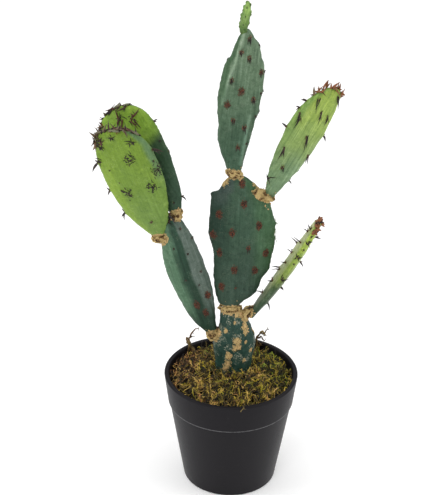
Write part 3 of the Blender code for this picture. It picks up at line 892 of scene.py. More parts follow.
def skin_material(kind, settings):
    """A pad's waxy skin. Its colour follows the pad, and its streaks run lengthwise."""
    look = SKINS[kind]
    s = Shader("skin_" + kind, roughness=settings.roughness, specular=0.22)
    run = s.attribute("run", "Vector")
    across, rim, along = s.node("ShaderNodeSeparateXYZ", s.attribute("place", "Vector")).outputs
    broad = s.noise(run, 38, 3, 0.55)
    colour = s.mix(s.step(s.plus(along, s.wave(broad, 0.45)), 0.08, 0.92), look.base, look.tip)
    cloud = s.step(s.noise(run, 62, 4, 0.6, 0.4), 0.52, 0.80)
    colour = s.over(colour, look.cloud, cloud, 0.5)
    wobble = s.wave(broad, 0.35)
    for start, end, slant, low, high, tint, strength in look.tints:
        lean = s.wave(along, slant)
        here = s.step(s.math("SUBTRACT", s.plus(across, wobble), lean), start, end)
        there = s.step(s.plus(along, wobble), low, high)
        colour = s.over(colour, tint, s.times(here, there), strength)
    # Painted highlights: the sides tint the faces before and behind the middle, more strongly towards the
    # tip.
    depth = s.node("ShaderNodeSeparateXYZ", run).outputs[1]
    for start, end, tint, strength in look.sides:
        colour = s.over(colour, tint, s.step(depth, start, end), s.times(along, strength))

    def shift(mask, strength, tint):
        """Lightens or darkens the colour so far by a tint, where the mask is."""
        return s.over(colour, tint, mask, strength, "MULTIPLY")

    streak = s.noise(s.stretched(run, (520, 260, 22)), 1.0, 3, 0.6)
    colour = shift(s.step(streak, 0.52, 0.70), look.streaks, (1.55, 1.45, 1.6))
    colour = shift(s.step(streak, 0.48, 0.32), look.streaks, (0.62, 0.68, 0.66))
    # Painted highlight: the tops of the raised lines are lightened.
    colour = shift(s.attribute("crest"), 0.85, (2.3, 2.0, 2.3))
    # Painted shade: on the upper part, where the skin turns away from the front, the margin colour is laid
    # over it (darker on most pads).
    edge = s.times(s.step(rim, 0.45, 0.95), s.step(along, 0.45, 0.62))
    colour = s.over(colour, look.rim, edge, 0.7)
    blotch = s.noise(run, 230, 5, 0.72, 0.5)
    colour = shift(s.step(blotch, 0.52, 0.66), look.mottle, (1.45, 1.35, 1.45))
    colour = shift(s.step(blotch, 0.49, 0.34), look.mottle, (0.52, 0.60, 0.56))
    freckle = s.noise(run, 900, 5, 0.85)
    fleck = s.times(s.step(freckle, 0.53, 0.59), s.step(s.noise(run, 110, 3, 0.6), 0.50, 0.60))
    colour = s.over(colour, FLECK_COLOUR, fleck, look.flecks)
    colour = shift(s.step(freckle, 0.46, 0.32), 0.8, (0.60, 0.66, 0.62))
    ragged = s.wave(s.noise(run, 560, 4, 0.75), 1.7)
    stain = s.step(s.plus(s.attribute("stain"), ragged), 0.44, 0.60)
    rust = s.mix(s.step(s.noise(run, 1300, 2, 0.7), 0.42, 0.58), look.rim, look.rust)
    colour = s.over(colour, rust, stain, 0.9)
    crumb = s.noise(run, 420, 5, 0.75, 0.6)
    scab = s.step(s.plus(s.attribute("scab"), s.wave(crumb, 2.2)), 0.50, 0.57)
    tan = s.mix(s.step(s.noise(run, 1000, 4, 0.7), 0.34, 0.56), CREVICE_COLOUR, settings.cork_colour)
    s.colour(s.mix(scab, colour, tan))
    gloss = s.plus(s.times(broad, 0.16), settings.roughness - 0.08)
    s.rough(s.plus(gloss, s.times(s.math("ADD", scab, stain, clamp=True), 0.30)))
    height = s.plus(s.times(streak, 0.45), s.times(freckle, 0.35))
    height = s.plus(height, s.times(blotch, 0.5))
    height = s.plus(height, s.times(scab, 0.9))
    s.bump(s.plus(height, s.times(crumb, s.times(scab, 0.8))), 0.6, 0.0010)
    return s.material


def spine_material():
    s = Shader("spines", roughness=0.5, specular=0.3)
    colour = s.ramp(
        s.attribute("tint"),
        (0.0, (0.010, 0.007, 0.007)),
        (0.2, (0.060, 0.030, 0.016)),
        (0.4, (0.200, 0.048, 0.022)),
        (0.6, (0.310, 0.115, 0.042)),
        (0.8, (0.140, 0.120, 0.070)),
        (1.0, (0.270, 0.340, 0.190)),
    )
    colour = s.over(colour, (0.018, 0.010, 0.008), s.step(s.attribute("reach"), 0.45, 1.0), 0.55)
    fleck = s.noise(s.object_place(), 900, 2, 0.6)
    s.colour(s.over(colour, (0.21, 0.13, 0.08), s.step(fleck, 0.5, 0.7), 0.35))
    s.bump(fleck, 0.4, 0.0003)
    return s.material


def cork_material(settings):
    s = Shader("cork", roughness=0.9, specular=0.12)
    here = s.object_place()
    coarse = s.noise(here, 300, 5, 0.7, 0.6)
    fine = s.noise(here, 1200, 4, 0.7)
    hollow = s.plus(s.attribute("hollow"), s.wave(coarse, 1.4))
    # Painted shade: crevice brown in the hollows of the relief, near black in the deepest.
    colour = s.mix(s.step(hollow, 0.35, 0.90), settings.cork_colour, CREVICE_COLOUR)
    colour = s.mix(s.step(hollow, 0.80, 1.05), colour, (0.05, 0.026, 0.012))
    # Pale flecks of painted highlight over the cork.
    colour = s.over(colour, (0.64, 0.50, 0.29), s.step(fine, 0.55, 0.72), 0.6)
    s.colour(s.over(colour, (0.11, 0.06, 0.026), s.step(fine, 0.44, 0.30), 0.5))
    s.bump(s.plus(coarse, s.times(fine, 0.6)), 0.9, 0.0014)
    return s.material


def pot_material(settings):
    s = Shader("pot_plastic", roughness=settings.roughness, specular=settings.specular)
    here = s.object_place()
    fine = s.noise(here, 1500, 3, 0.6)
    broad = s.noise(here, 30, 3, 0.5)
    dust = s.noise(here, 220, 4, 0.7, 0.3)
    base = tuple(settings.colour)
    colour = s.over(base, tuple(c * 1.35 for c in base), broad, 0.5)
    colour = s.over(colour, (0.060, 0.057, 0.054), s.step(dust, 0.60, 0.78), 0.25)
    # Painted highlight: a lighter grey line along the band's lower rounded edge, broken up by the dust noise.
    edge_highlight = s.times(s.attribute("edge_highlight"), s.step(dust, 0.25, 0.55))
    s.colour(s.over(colour, settings.edge_highlight_colour, edge_highlight, 0.8))
    s.rough(s.plus(s.times(dust, 0.14), settings.roughness - 0.07))
    s.bump(s.plus(s.times(fine, 0.5), s.times(dust, 0.4)), 0.25, 0.0004)
    return s.material


def soil_material():
    s = Shader("potting_soil", roughness=0.95, specular=0.1)
    crumb = s.noise(s.object_place(), 350, 5, 0.7)
    s.colour(s.mix(s.step(crumb, 0.35, 0.7), (0.016, 0.010, 0.007), (0.060, 0.036, 0.022)))
    s.bump(crumb, 0.9, 0.002)
    return s.material


def moss_mat_material():
    s = Shader("moss_mat", roughness=0.95, specular=0.05)
    here = s.object_place()
    clump = s.noise(here, 90, 4, 0.6)
    fibre = s.noise(here, 700, 4, 0.7, 1.5)
    # The mat is nearly black: painted shade in the gaps between the strands.
    colour = s.mix(s.step(clump, 0.38, 0.62), (0.009, 0.005, 0.003), (0.011, 0.009, 0.003))
    s.colour(s.over(colour, (0.085, 0.062, 0.020), s.step(fibre, 0.58, 0.74), 0.5))
    s.bump(fibre, 1.0, 0.002)
    return s.material


def strand_material():
    """Moss strands and twigs, with painted light and shade: a few strands are bright and most are dark, and
    so are whole tufts.
    """
    s = Shader("moss_strands", roughness=0.5, specular=0.5)
    colour = s.ramp(
        s.attribute("tint"),
        (0.00, (0.620, 0.270, 0.110)),
        (0.18, (0.780, 0.440, 0.130)),
        (0.36, (0.900, 0.610, 0.160)),
        (0.54, (0.700, 0.510, 0.055)),
        (0.76, (0.520, 0.470, 0.030)),
        (1.00, (0.310, 0.440, 0.050)),
    )
    here = s.object_place()
    light = s.between(s.math("POWER", s.attribute("light"), 3.5), 0.0, 1.0, 0.010, 1.5)
    shade = s.noise(here, 450, 3, 0.6)
    tuft = s.between(s.noise(here, 170, 2, 0.5), 0.36, 0.62, 0.25, 1.7)
    light = s.math("MINIMUM", s.times(s.times(light, s.plus(shade, 0.5)), tuft), 1.1)
    grey = s.node("ShaderNodeCombineColor", light, light, light).outputs[0]
    s.colour(s.mix(1.0, colour, grey, "MULTIPLY"))
    s.bump(shade, 0.5, 0.0005)
    return s.material


# ----------------------------------------------------------------------------------------------------------
# Sizes and colours


class PotSettings(bpy.types.PropertyGroup):
    band_height: FloatProperty(
        name="Band height", description="Height of the band under the lip", default=0.0305, unit="LENGTH"
    )
    band_step: FloatProperty(
        name="Band step",
        description="How far the band stands out from the wall",
        default=0.0016,
        unit="LENGTH",
    )
    band_taper: FloatProperty(
        name="Band taper",
        description="How much narrower the band's lower edge is",
        default=0.0037,
        unit="LENGTH",
    )
    lip_width: FloatProperty(
        name="Lip width", description="Width of the lip seen from above", default=0.0045, unit="LENGTH"
    )
    wall: FloatProperty(name="Wall", description="Thickness of the wall", default=0.0025, unit="LENGTH")
    roughness: FloatProperty(name="Roughness", description="How matt the plastic is", default=0.42)
    specular: FloatProperty(name="Specular", description="How strongly the plastic reflects", default=0.13)
    colour: FloatVectorProperty(
        name="Colour", description="Colour of the plastic", default=(0.0095, 0.0085, 0.0105), subtype="COLOR"
    )
    edge_highlight_colour: FloatVectorProperty(
        name="Highlight colour",
        description="Colour of the band's highlit edge",
        default=(0.14, 0.14, 0.145),
        subtype="COLOR",
    )


class PadSettings(bpy.types.PropertyGroup):
    voxel: FloatProperty(name="Grain", description="Size of the skin's faces", default=0.0010, unit="LENGTH")
    cushion_lift: FloatProperty(
        name="Cushion lift",
        description="How far the skin swells under a cushion",
        default=0.0006,
        unit="LENGTH",
    )
    unevenness: FloatProperty(
        name="Unevenness", description="How wavy the skin is", default=0.0005, unit="LENGTH"
    )
    roughness: FloatProperty(name="Roughness", description="How matt the skin is", default=0.50)
    spine_scale: FloatProperty(name="Spine scale", description="Length of the spines", default=1.0)
    cork_colour: FloatVectorProperty(
        name="Cork colour",
        description="Colour of the corky collars",
        default=(0.56, 0.415, 0.18),
        subtype="COLOR",
    )


class MossSettings(bpy.types.PropertyGroup):
    sprigs: IntProperty(name="Sprigs", description="How many leafy moss sprigs there are", default=1020)
    fibres: IntProperty(name="Fibres", description="How many bare moss fibres there are", default=1900)
    clumps: FloatProperty(
        name="Clumps", description="Height of the mat's clumps", default=0.0026, unit="LENGTH"
    )


class StageSettings(bpy.types.PropertyGroup):
    distance: FloatProperty(
        name="Distance",
        description="From the camera to the middle of the pot's mouth",
        default=1.9,
        unit="LENGTH",
    )
    elevation: FloatProperty(
        name="Elevation",
        description="Camera's height above the pot's mouth",
        default=math.radians(33),
        unit="ROTATION",
    )
    lens: FloatProperty(name="Lens", description="Focal length in millimetres", default=141.4)
    key: FloatProperty(name="Overhead light", description="Power of the large light above", default=80.0)
    front: FloatProperty(name="Front light", description="Power of the light at the front", default=14.0)
    sides: FloatProperty(name="Side lights", description="Power of the two side lights", default=9.0)
    sky: FloatProperty(name="Sky", description="Strength of the light from all round", default=0.40)
    floor_glow: FloatProperty(
        name="Floor glow", description="Light that the floor itself gives", default=0.22
    )


# ----------------------------------------------------------------------------------------------------------
# Pieces


class MakePot(bpy.types.Operator):
    """Turn the banded pot, with its rounded lip and recessed underside"""

    bl_idname = "prickly_pear.make_pot"
    bl_label = "Pot"

    def execute(self, context):
        s = context.scene.pear_pot
        radius, _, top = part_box("pot")[1]
        foot = top - s.band_height
        wall_top = radius - s.band_taper - s.band_step
        base = 0.7 * radius
        edge = 0.9 * MM  # radius of the band's lower edge
        lip = 1.5 * MM  # radius of the lip's two rounded edges
        heel = 2.5 * MM  # radius between the wall and the ring that the pot stands on
        ring, recess = base - 7 * MM, 1.2 * MM  # the ring's inner radius, and how far the underside is raised
        hub = 14 * MM  # radius of the disc in the middle of the underside
        floor = 3 * MM  # height of the inside's floor
        step_radius = wall_top + s.band_step
        profile = [
            (0, 0),
            (hub, 0),
            (hub, recess),
            (ring, recess),
            (ring, 0),
            *arc(base - heel, heel, heel, -90, -6, 6),
            (wall_top - 0.1 * MM, foot - 1.6 * MM),
            (wall_top, foot - 0.8 * MM),
            (wall_top + 0.3 * MM, foot - 0.2 * MM),
            *arc(step_radius - edge, foot + edge, edge, -80, 0, 5),
            (step_radius + 0.03 * MM, foot + 1.5 * MM),
            *arc(radius - lip, top - lip, lip, 0, 90, 7),
            *arc(radius - s.lip_width + lip, top - lip, lip, 90, 180, 7),
            (wall_top - s.wall, foot),
            (base - s.wall, floor),
            (0, floor),
        ]
        bm = bmesh.new()
        verts = [bm.verts.new((x, 0, z)) for x, z in profile]
        edges = [bm.edges.new(pair) for pair in zip(verts, verts[1:])]
        geometry = verts + edges
        bmesh.ops.spin(bm, geom=geometry, axis=(0, 0, 1), angle=math.tau, steps=144, use_merge=True)
        bmesh.ops.remove_doubles(bm, verts=bm.verts, dist=WELD)
        bmesh.ops.recalc_face_normals(bm, faces=bm.faces)
        mesh = as_mesh(bm, "plastic_pot")
        mesh.shade_smooth()
        mesh.set_sharp_from_angle(angle=math.radians(50))
        places = vertex_places(mesh)
        far, height = np.hypot(places[:, 0], places[:, 1]), places[:, 2] - foot
        outer = far > step_radius - 0.8 * edge
        # The band's lower rounded edge carries a painted highlight, a lighter grey line.
        keep_values(mesh, "edge_highlight", outer & (height > -0.1 * edge) & (height < 1.6 * edge))
        finished("plastic_pot", mesh, pot_material(s), "pot_plastic", "pot")
        return {"FINISHED"}


def arc(x, z, radius, start, end, steps):
    """Points on an arc between two angles in degrees."""
    angles = [math.radians(start + (end - start) * i / steps) for i in range(steps + 1)]
    return [(x + radius * math.cos(a), z + radius * math.sin(a)) for a in angles]


class FinishSoil(bpy.types.Operator):
    """Give the soil under the moss its crumbly look"""

    bl_idname = "prickly_pear.finish_soil"
    bl_label = "Soil"

    def execute(self, context):
        material = soil_material()
        for slot in frame["nodes"]["soil"].material_slots:
            slot.material = material
        return {"FINISHED"}


class MakeMossMat(bpy.types.Operator):
    """Raise the mat under the moss into clumps"""

    bl_idname = "prickly_pear.make_moss_mat"
    bl_label = "Moss mat"

    def execute(self, context):
        s = context.scene.pear_moss
        mesh = remeshed(merged_copy("moss"), "moss_mat", 1.5 * MM, 3)
        places, normals = vertex_places(mesh), vertex_normals(mesh)
        up = sides_to(0.2, 0.8, normals[:, 2])
        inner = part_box("moss")[1][0]
        edge = sides_to(inner, inner - 4 * MM, np.hypot(places[:, 0], places[:, 1]))
        swell = grain(places, 9 * MM) + 0.6 * grain(places, 3.5 * MM, 5.0)
        places[:, 2] += s.clumps * up * (0.35 + edge * 0.65) * swell
        move_vertices(mesh, places)
        finished("moss_mat", mesh, moss_mat_material(), "dry_moss", "moss")
        return {"FINISHED"}


def moss_spot(chance, ground, reach):
    """A random place on the moss, clear of the trunk."""
    while True:
        radius = reach * math.sqrt(chance.random())
        angle = chance.uniform(0, math.tau)
        x, y = radius * math.cos(angle), radius * math.sin(angle)
        if ((x - 1.5 * MM) / (18 * MM)) ** 2 + ((y - 4 * MM) / (12 * MM)) ** 2 < 1:
            continue
        point, _, _, _ = ground.ray_cast(Vector((x, y, SKY)), DOWN)
        if point is not None:
            return point


def moss_tint(point, chance):
    """From reddish brown (0) over straw (0.4) to green (1): greener at the back right, browner at left."""
    x, y = point.x / MM, point.y / MM
    area = 0.34 * noise.noise(Vector((x, y, 0)) / 15)
    green = math.exp(-(((x - 40) / 22) ** 2) - ((y - 22) / 26) ** 2)
    brown = math.exp(-(((x + 50) / 14) ** 2) - ((y - 18) / 30) ** 2)
    return min(1.0, max(0.0, 0.49 + area + 0.30 * green - 0.42 * brown + chance.gauss(0, 0.17)))


class MakeMossFibres(bpy.types.Operator):
    """Lay curly bare fibres over the mat"""

    bl_idname = "prickly_pear.make_moss_fibres"
    bl_label = "Moss fibres"

    def execute(self, context):
        chance = random.Random(11)
        ground = surface(bpy.data.objects["moss_mat"].data)
        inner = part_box("moss")[1][0]
        lines = []
        for _ in range(context.scene.pear_moss.fibres):
            start = moss_spot(chance, ground, inner - 1 * MM)
            heading = chance.uniform(0, math.tau)
            turn = chance.gauss(0, 0.5)
            step = chance.uniform(1.2, 2.6) * MM
            lift = chance.uniform(0.0, 4.0) * MM
            arch = chance.uniform(0.0, 3.5) * MM
            points = []
            x, y = start.x, start.y
            count = chance.choice((6, 7, 8))
            for i in range(count):
                share = i / (count - 1)
                below, _, _, _ = ground.ray_cast(Vector((x, y, SKY)), DOWN)
                height = (below.z if below else start.z) + lift * share + arch * math.sin(math.pi * share)
                points.append(Vector((x, y, height - 0.4 * MM)))
                heading += turn + chance.gauss(0, 0.4)
                x += step * math.cos(heading)
                y += step * math.sin(heading)
                far = math.hypot(x, y)
                if far > inner:
                    x, y = x * inner / far, y * inner / far
            thick = chance.uniform(0.28, 0.58) * MM
            radii = [thick * (1 - 0.5 * i / (count - 1)) for i in range(count)]
            lines.append((points, radii, moss_tint(start, chance)))
        mesh = tube_mesh("moss_fibres", lines, sides=4)
        finished("moss_fibres", mesh, strand_material(), "dry_moss")
        return {"FINISHED"}


def sprig_template(chance):
    """A curved stem with little pointed leaves all along it. It starts at the origin and grows along +X."""
    length, count, leaves = 10 * MM, 5, 9
    rise = chance.uniform(0.2, 0.7)
    sway = chance.uniform(-0.5, 0.5)

    def at(share):
        x = length * share
        return Vector((x * (1 - 0.12 * share), sway * x * share, rise * x * share**1.3))

    route = [at(i / (count - 1)) for i in range(count)]
    radii = [0.34 * MM * (1 - 0.55 * i / count) for i in range(count)]
    stem = tube_mesh("sprig_stem", [(route, radii, 0)], sides=4)
    bm = bmesh.new()
    bm.from_mesh(stem)
    bpy.data.meshes.remove(stem)
    for i in range(leaves):
        share = 0.15 + 0.83 * i / (leaves - 1)
        here, ahead = at(share), (at(min(1, share + 0.05)) - at(share - 0.05)).normalized()
        side = ahead.orthogonal().normalized()
        side.rotate(Matrix.Rotation(i * 2.4 + chance.uniform(-0.4, 0.4), 3, ahead))
        aim = (ahead * 0.8 + side).normalized()
        size = (3.2 - 1.2 * share) * MM * chance.uniform(0.8, 1.15)
        turn = aim.to_track_quat("Z", "Y").to_matrix().to_4x4()
        bmesh.ops.create_cone(
            bm,
            cap_ends=True,
            segments=3,
            radius1=0.38 * MM,
            radius2=0.0,
            depth=size,
            matrix=Matrix.Translation(here + aim * size * 0.45) @ turn,
        )
    bmesh.ops.recalc_face_normals(bm, faces=bm.faces)
    return bm


CLUMP = 30  # sprigs that are joined at a time
TWIG_LIGHT = 0.52  # how bright the twigs are, between the darkest strand (0) and the brightest (1)


def sprig_place(start, inner, chance):
    """The turn, size and place of one sprig. Near the pot's wall it leans inwards."""
    heading = chance.uniform(0, math.tau)
    if math.hypot(start.x, start.y) > 0.82 * inner:
        heading = math.atan2(-start.y, -start.x) + chance.uniform(-1.6, 1.6)
    turn = Matrix.Rotation(heading, 4, "Z") @ Matrix.Rotation(-chance.uniform(-0.2, 0.7), 4, "Y")
    turn = turn @ Matrix.Rotation(chance.uniform(-0.8, 0.8), 4, "X")
    size = Matrix.Scale(chance.uniform(0.55, 1.2), 4)
    return Matrix.Translation(start - Vector((0, 0, 0.6 * MM))) @ turn @ size


class MakeMossSprigs(bpy.types.Operator):
    """Plant leafy sprigs all over the mat"""

    bl_idname = "prickly_pear.make_moss_sprigs"
    bl_label = "Moss sprigs"

    def execute(self, context):
        chance = random.Random(23)
        ground = surface(bpy.data.objects["moss_mat"].data)
        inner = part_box("moss")[1][0]
        templates = [sprig_template(chance) for _ in range(6)]
        scratch = bpy.data.meshes.new("sprig_scratch")
        total = context.scene.pear_moss.sprigs
        for part in range(2):
            bm = bmesh.new()
            tints, counts = [], []
            for _ in range(total // 2 // CLUMP):
                clump = bmesh.new()
                for _ in range(CLUMP):
                    start = moss_spot(chance, ground, inner - 1.5 * MM)
                    chance.choice(templates).to_mesh(scratch)
                    scratch.transform(sprig_place(start, inner, chance))
                    clump.from_mesh(scratch)
                    tints.append(moss_tint(start, chance))
                    counts.append(len(scratch.vertices))
                clump.to_mesh(scratch)
                clump.free()
                bm.from_mesh(scratch)
            name = f"moss_sprigs_{part + 1}"
            mesh = as_mesh(bm, name)
            for layer in ("tint", "reach", "light"):
                mesh.attributes.remove(mesh.attributes[layer])
            keep_values(mesh, "tint", np.repeat(tints, counts))
            light = np.random.default_rng(part).uniform(0, 1, len(counts))
            keep_values(mesh, "light", np.repeat(light, counts))
            finished(name, mesh, bpy.data.materials["moss_strands"], "dry_moss")
        for template in templates:
            template.free()
        bpy.data.meshes.remove(scratch)
        return {"FINISHED"}


# The twigs' branches and a moss strand over the rim: (points in millimetres, thickness, tint).
TWIGS = [
    (
        [(-38, 41, 106), (-41, 42, 117), (-42.5, 42, 127), (-39.5, 42, 134), (-36, 42, 139), (-33, 42, 139)],
        0.75,
        0.05,
    ),
    ([(-42.5, 42, 126), (-45, 42, 128), (-44, 42, 122), (-41, 41, 118)], 0.6, 0.22),
    ([(-42.5, 42, 127), (-40, 42, 130), (-38.5, 42, 130)], 0.5, 0.30),
    ([(-43, 42, 125), (-40, 41, 119), (-38, 41, 113), (-33, 38, 109)], 0.9, 0.34),
    ([(-42, 42, 121), (-37, 40, 115), (-35, 37, 110)], 0.7, 0.38),
    ([(-41, 42, 123), (-43, 40, 114), (-41, 38, 108)], 0.6, 0.26),
    (
        [
            (26.5, 52, 108), (25.5, 52, 117), (24.6, 52, 124), (28, 52, 129), (32, 52, 128), (35, 52, 134),
            (36.5, 52, 133),
        ],
        0.7,
        0.30,
    ),
    ([(25, 52, 123), (29.5, 52, 125), (31.5, 52, 121), (33, 52, 120)], 0.6, 0.12),
    ([(28, 52, 129), (31, 52, 131), (33, 52, 127), (31, 52, 126)], 0.7, 0.36),
    ([(26, 52, 112), (29, 51, 116), (28, 51, 119)], 0.6, 0.25),
    ([(15, -55, 112), (13, -61, 117), (12, -66, 118), (10, -67.5, 115)], 0.35, 0.40),
]


class MakeTwigs(bpy.types.Operator):
    """Stand the two dry twigs in the moss, and hang a strand over the rim"""

    bl_idname = "prickly_pear.make_twigs"
    bl_label = "Dry twigs"

    def execute(self, context):
        lines = [twig(*shape) for shape in TWIGS]
        chance = random.Random(3)
        shoots = [shoot for line in lines for shoot in barbs(line, 5, chance)]
        mesh = tube_mesh("dry_twigs", lines + shoots, sides=6)
        mesh.attributes.remove(mesh.attributes["light"])
        keep_values(mesh, "light", np.full(len(mesh.vertices), TWIG_LIGHT))
        finished("dry_twigs", mesh, bpy.data.materials["moss_strands"], "dry_moss")
        return {"FINISHED"}


def twig(route, thick, tint):
    """A crooked twig through points in millimetres, with a few points between each two."""
    points = []
    for a, b in zip(route, route[1:]):
        for i in range(3):
            point = Vector(a).lerp(Vector(b), i / 3)
            points.append((point + noise.noise_vector(point / 2.5) * 0.8) * MM)
    points.append(Vector(route[-1]) * MM)
    radii = [1.9 * thick * MM * (1 - 0.7 * i / (len(points) - 1)) for i in range(len(points))]
    return points, radii, tint


def barbs(line, count, chance):
    """Short curly side shoots along a twig."""
    points, radii, tint = line
    made = []
    for _ in range(count):
        start = chance.choice(points[2:])
        aim = Vector([chance.gauss(0, 1) for _ in range(3)])
        bow = Vector([chance.gauss(0, 1.5) for _ in range(3)]) * MM
        length = chance.uniform(1.5, 4) * MM
        made.append(spine(start, aim, length, 0.35 * MM, bow, tint + chance.uniform(0, 0.15)))
    return made


CORK_REACH = 2.2 * MM  # how far the collars' cork spreads over the skin
CUSHION_RADIUS = 3.2 * MM  # how far a cushion lifts the skin round it
REMESH_LOSS = 0.45 * MM  # how far remeshing and smoothing draw a pad's surface in


class MakePads(bpy.types.Operator):
    """Make the skin of the trunk, the pads and the bud"""

    bl_idname = "prickly_pear.make_pads"
    bl_label = "Pads"

    def execute(self, context):
        s = context.scene.pear_pads
        rings = [frame["nodes"][name].data for name in COLLARS if name not in SUNKEN]
        collars = KDTree(sum(len(ring.vertices) for ring in rings))
        for ring in rings:
            for vertex in ring.vertices:
                collars.insert(vertex.co, 0)
        collars.balance()
        for name, pad in PADS.items():
            small = name == "top_bud"
            half = 0.5 if small else 1
            mesh = remeshed(merged_copy(name), name + "_skin", s.voxel * half, 6 if small else 9)
            pad_shapes[name] = shape = PadShape(mesh)
            places, normals = vertex_places(mesh), vertex_normals(mesh)
            own, share, across = shape.shares(places)
            found = cushions(name)
            points = [point for point, _, _ in found]
            lift = falloff(places, points, [CUSHION_RADIUS * half] * len(points))
            strengths, reaches = zip(*[STAINS[kind] for _, _, kind in found]) if found else ((), ())
            stain = patches(shape, own, points, [reach * MM for reach in reaches], strengths)
            rim = 1 - np.abs(normals @ shape.axes[1])
            near = np.array([collars.find(Vector(p))[2] for p in places])
            scab = 0.9 * np.exp(-((near / CORK_REACH) ** 2))
            stretched = own * np.array((1, 1, 0.25))
            bumps = s.unevenness * (grain(own, 16 * MM, 1.0) + 0.5 * grain(stretched, 4 * MM, 2.0))
            scars = []
            if name == "trunk_pad":
                for side in (-1, 1):
                    scars += [(shape.on_face(u, -side * v, side)[0], size * MM) for u, v, size in TRUNK_SCARS]
                bumps = bumps + 0.6 * MM * grain(own, 3.5 * MM, 4.0) + 0.4 * MM * grain(own, 1.8 * MM, 5.0)
            if name == "centre_pad":
                scars = [(shape.on_margin(u, side)[0], size * MM) for u, side, size in SHOULDER_SCARS]
            if scars:
                where, sizes = zip(*scars)
                crust = patches(shape, own, where, sizes, [1.0] * len(scars), 0.85)
                scab = np.maximum(scab, crust)
                bumps = bumps + 0.5 * MM * crust
            crest, raised = crests(shape, own, normals, pad.ridges)
            bumps = bumps + raised + 0.5 * MM * rim * grain(own, 5 * MM, 6.0)
            lift = s.cushion_lift * (2.2 if small else 1) * lift
            bumps = bumps * (0.4 if small else 1)
            move_vertices(mesh, places + normals * (REMESH_LOSS * half + lift + bumps)[:, None])
            place = np.stack([across, rim, share], axis=1)
            kept = {"run": own, "place": place, "stain": stain, "scab": scab, "crest": crest}
            for layer, values in kept.items():
                keep_values(mesh, layer, values)
            finished(name + "_skin", mesh, skin_material(pad.skin, s), pad.slot, name)
            pad_shapes[name] = PadShape(mesh)
        return {"FINISHED"}


class MakeSpines(bpy.types.Operator):
    """Grow the spines, bristles and crown leaves of every pad"""

    bl_idname = "prickly_pear.make_spines"
    bl_label = "Spines"

    def execute(self, context):
        scale = context.scene.pear_pads.spine_scale
        material = spine_material()
        for number, (name, pad) in enumerate(PADS.items()):
            chance = random.Random(100 + number)
            shape = pad_shapes[name]
            size = scale * (0.5 if name == "top_bud" else 1)
            lines = []
            for point, normal, kind in cushions(name):
                lines += grown(shape, point, normal, kind, chance, size)
            if pad.crown:
                lines += crown_leaves(name, chance)
            if lines:
                finished(name + "_spines", tube_mesh(name + "_spines", lines), material, pad.slot)
        return {"FINISHED"}


class MakeCollars(bpy.types.Operator):
    """Make the crumbly cork collars at the joints"""

    bl_idname = "prickly_pear.make_collars"
    bl_label = "Cork collars"

    def execute(self, context):
        material = cork_material(context.scene.pear_pads)
        for name in COLLARS:
            mesh = remeshed(merged_copy(name), name + "_cork", 0.5 * MM, 4)
            places, normals = vertex_places(mesh), vertex_normals(mesh)
            ridge = 1 - 3.2 * np.abs(grain(places, 5 * MM))
            rough = 1.1 * ridge + 0.8 * grain(places, 2.2 * MM, 3.0) + 0.4 * grain(places, 1.0 * MM, 7.0)
            sunk = 1.1 - 1.2 * grain(places, 9 * MM, 5.0) + SUNKEN.get(name, 0.0) * normals[:, 1] ** 2
            move_vertices(mesh, places + normals * ((rough - sunk) * MM)[:, None])
            # How deep each point lies in the relief, for the painted shade in the cork's hollows.
            keep_values(mesh, "hollow", np.clip(0.65 - 0.55 * rough, 0, 1))
            finished(name + "_cork", mesh, material, "cork", name)
        return {"FINISHED"}


class MakeFlakes(bpy.types.Operator):
    """Scatter cork flakes on the skin round the joints and on the trunk's scars"""

    bl_idname = "prickly_pear.make_flakes"
    bl_label = "Cork flakes"

    def execute(self, context):
        chance = random.Random(5)
        bm = bmesh.new()
        trunk = pad_shapes["trunk_pad"]
        spots = []
        for share, across, size in TRUNK_SCARS:
            for side in (-1, 1):
                for _ in range(int(size * 1.4)):
                    there = share + chance.gauss(0, size / 300), across * -side + chance.gauss(0, size / 60)
                    if there[0] < 0.97 and abs(there[1]) < 0.97:
                        spots.append(trunk.on_face(there[0], there[1], side))
        for name in COLLARS:
            low, high = (Vector(corner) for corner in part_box(name))
            middle, reach = (low + high) / 2, (high - low).length / 2
            for _ in range(34):
                there = middle + Vector([chance.gauss(0, 0.48) for _ in range(3)]) * reach
                near = [shape.tree.find_nearest(there) for shape in pad_shapes.values()]
                point, normal, _, _ = min(near, key=lambda found: found[3])
                if (point - middle).length < reach:
                    spots.append((point, normal))
        for point, normal in spots:
            size = chance.uniform(0.4, 1.2) * MM
            turn = normal.to_track_quat("Z", "Y").to_matrix().to_4x4()
            turn = turn @ Matrix.Rotation(chance.uniform(0, math.tau), 4, "Z")
            flat = Matrix.Diagonal((size, size * chance.uniform(0.5, 0.9), size * 0.25, 1))
            place = Matrix.Translation(point + normal * 0.1 * MM) @ turn @ flat
            made = bmesh.ops.create_icosphere(bm, subdivisions=1, radius=1, matrix=place)
            for vertex in made["verts"]:
                vertex.co += noise.noise_vector(vertex.co / (0.8 * MM)) * 0.35 * MM
        mesh = as_mesh(bm, "cork_flakes")
        keep_values(mesh, "hollow", np.full(len(mesh.vertices), 0.2))
        finished("cork_flakes", mesh, bpy.data.materials["cork"], "cork")
        return {"FINISHED"}


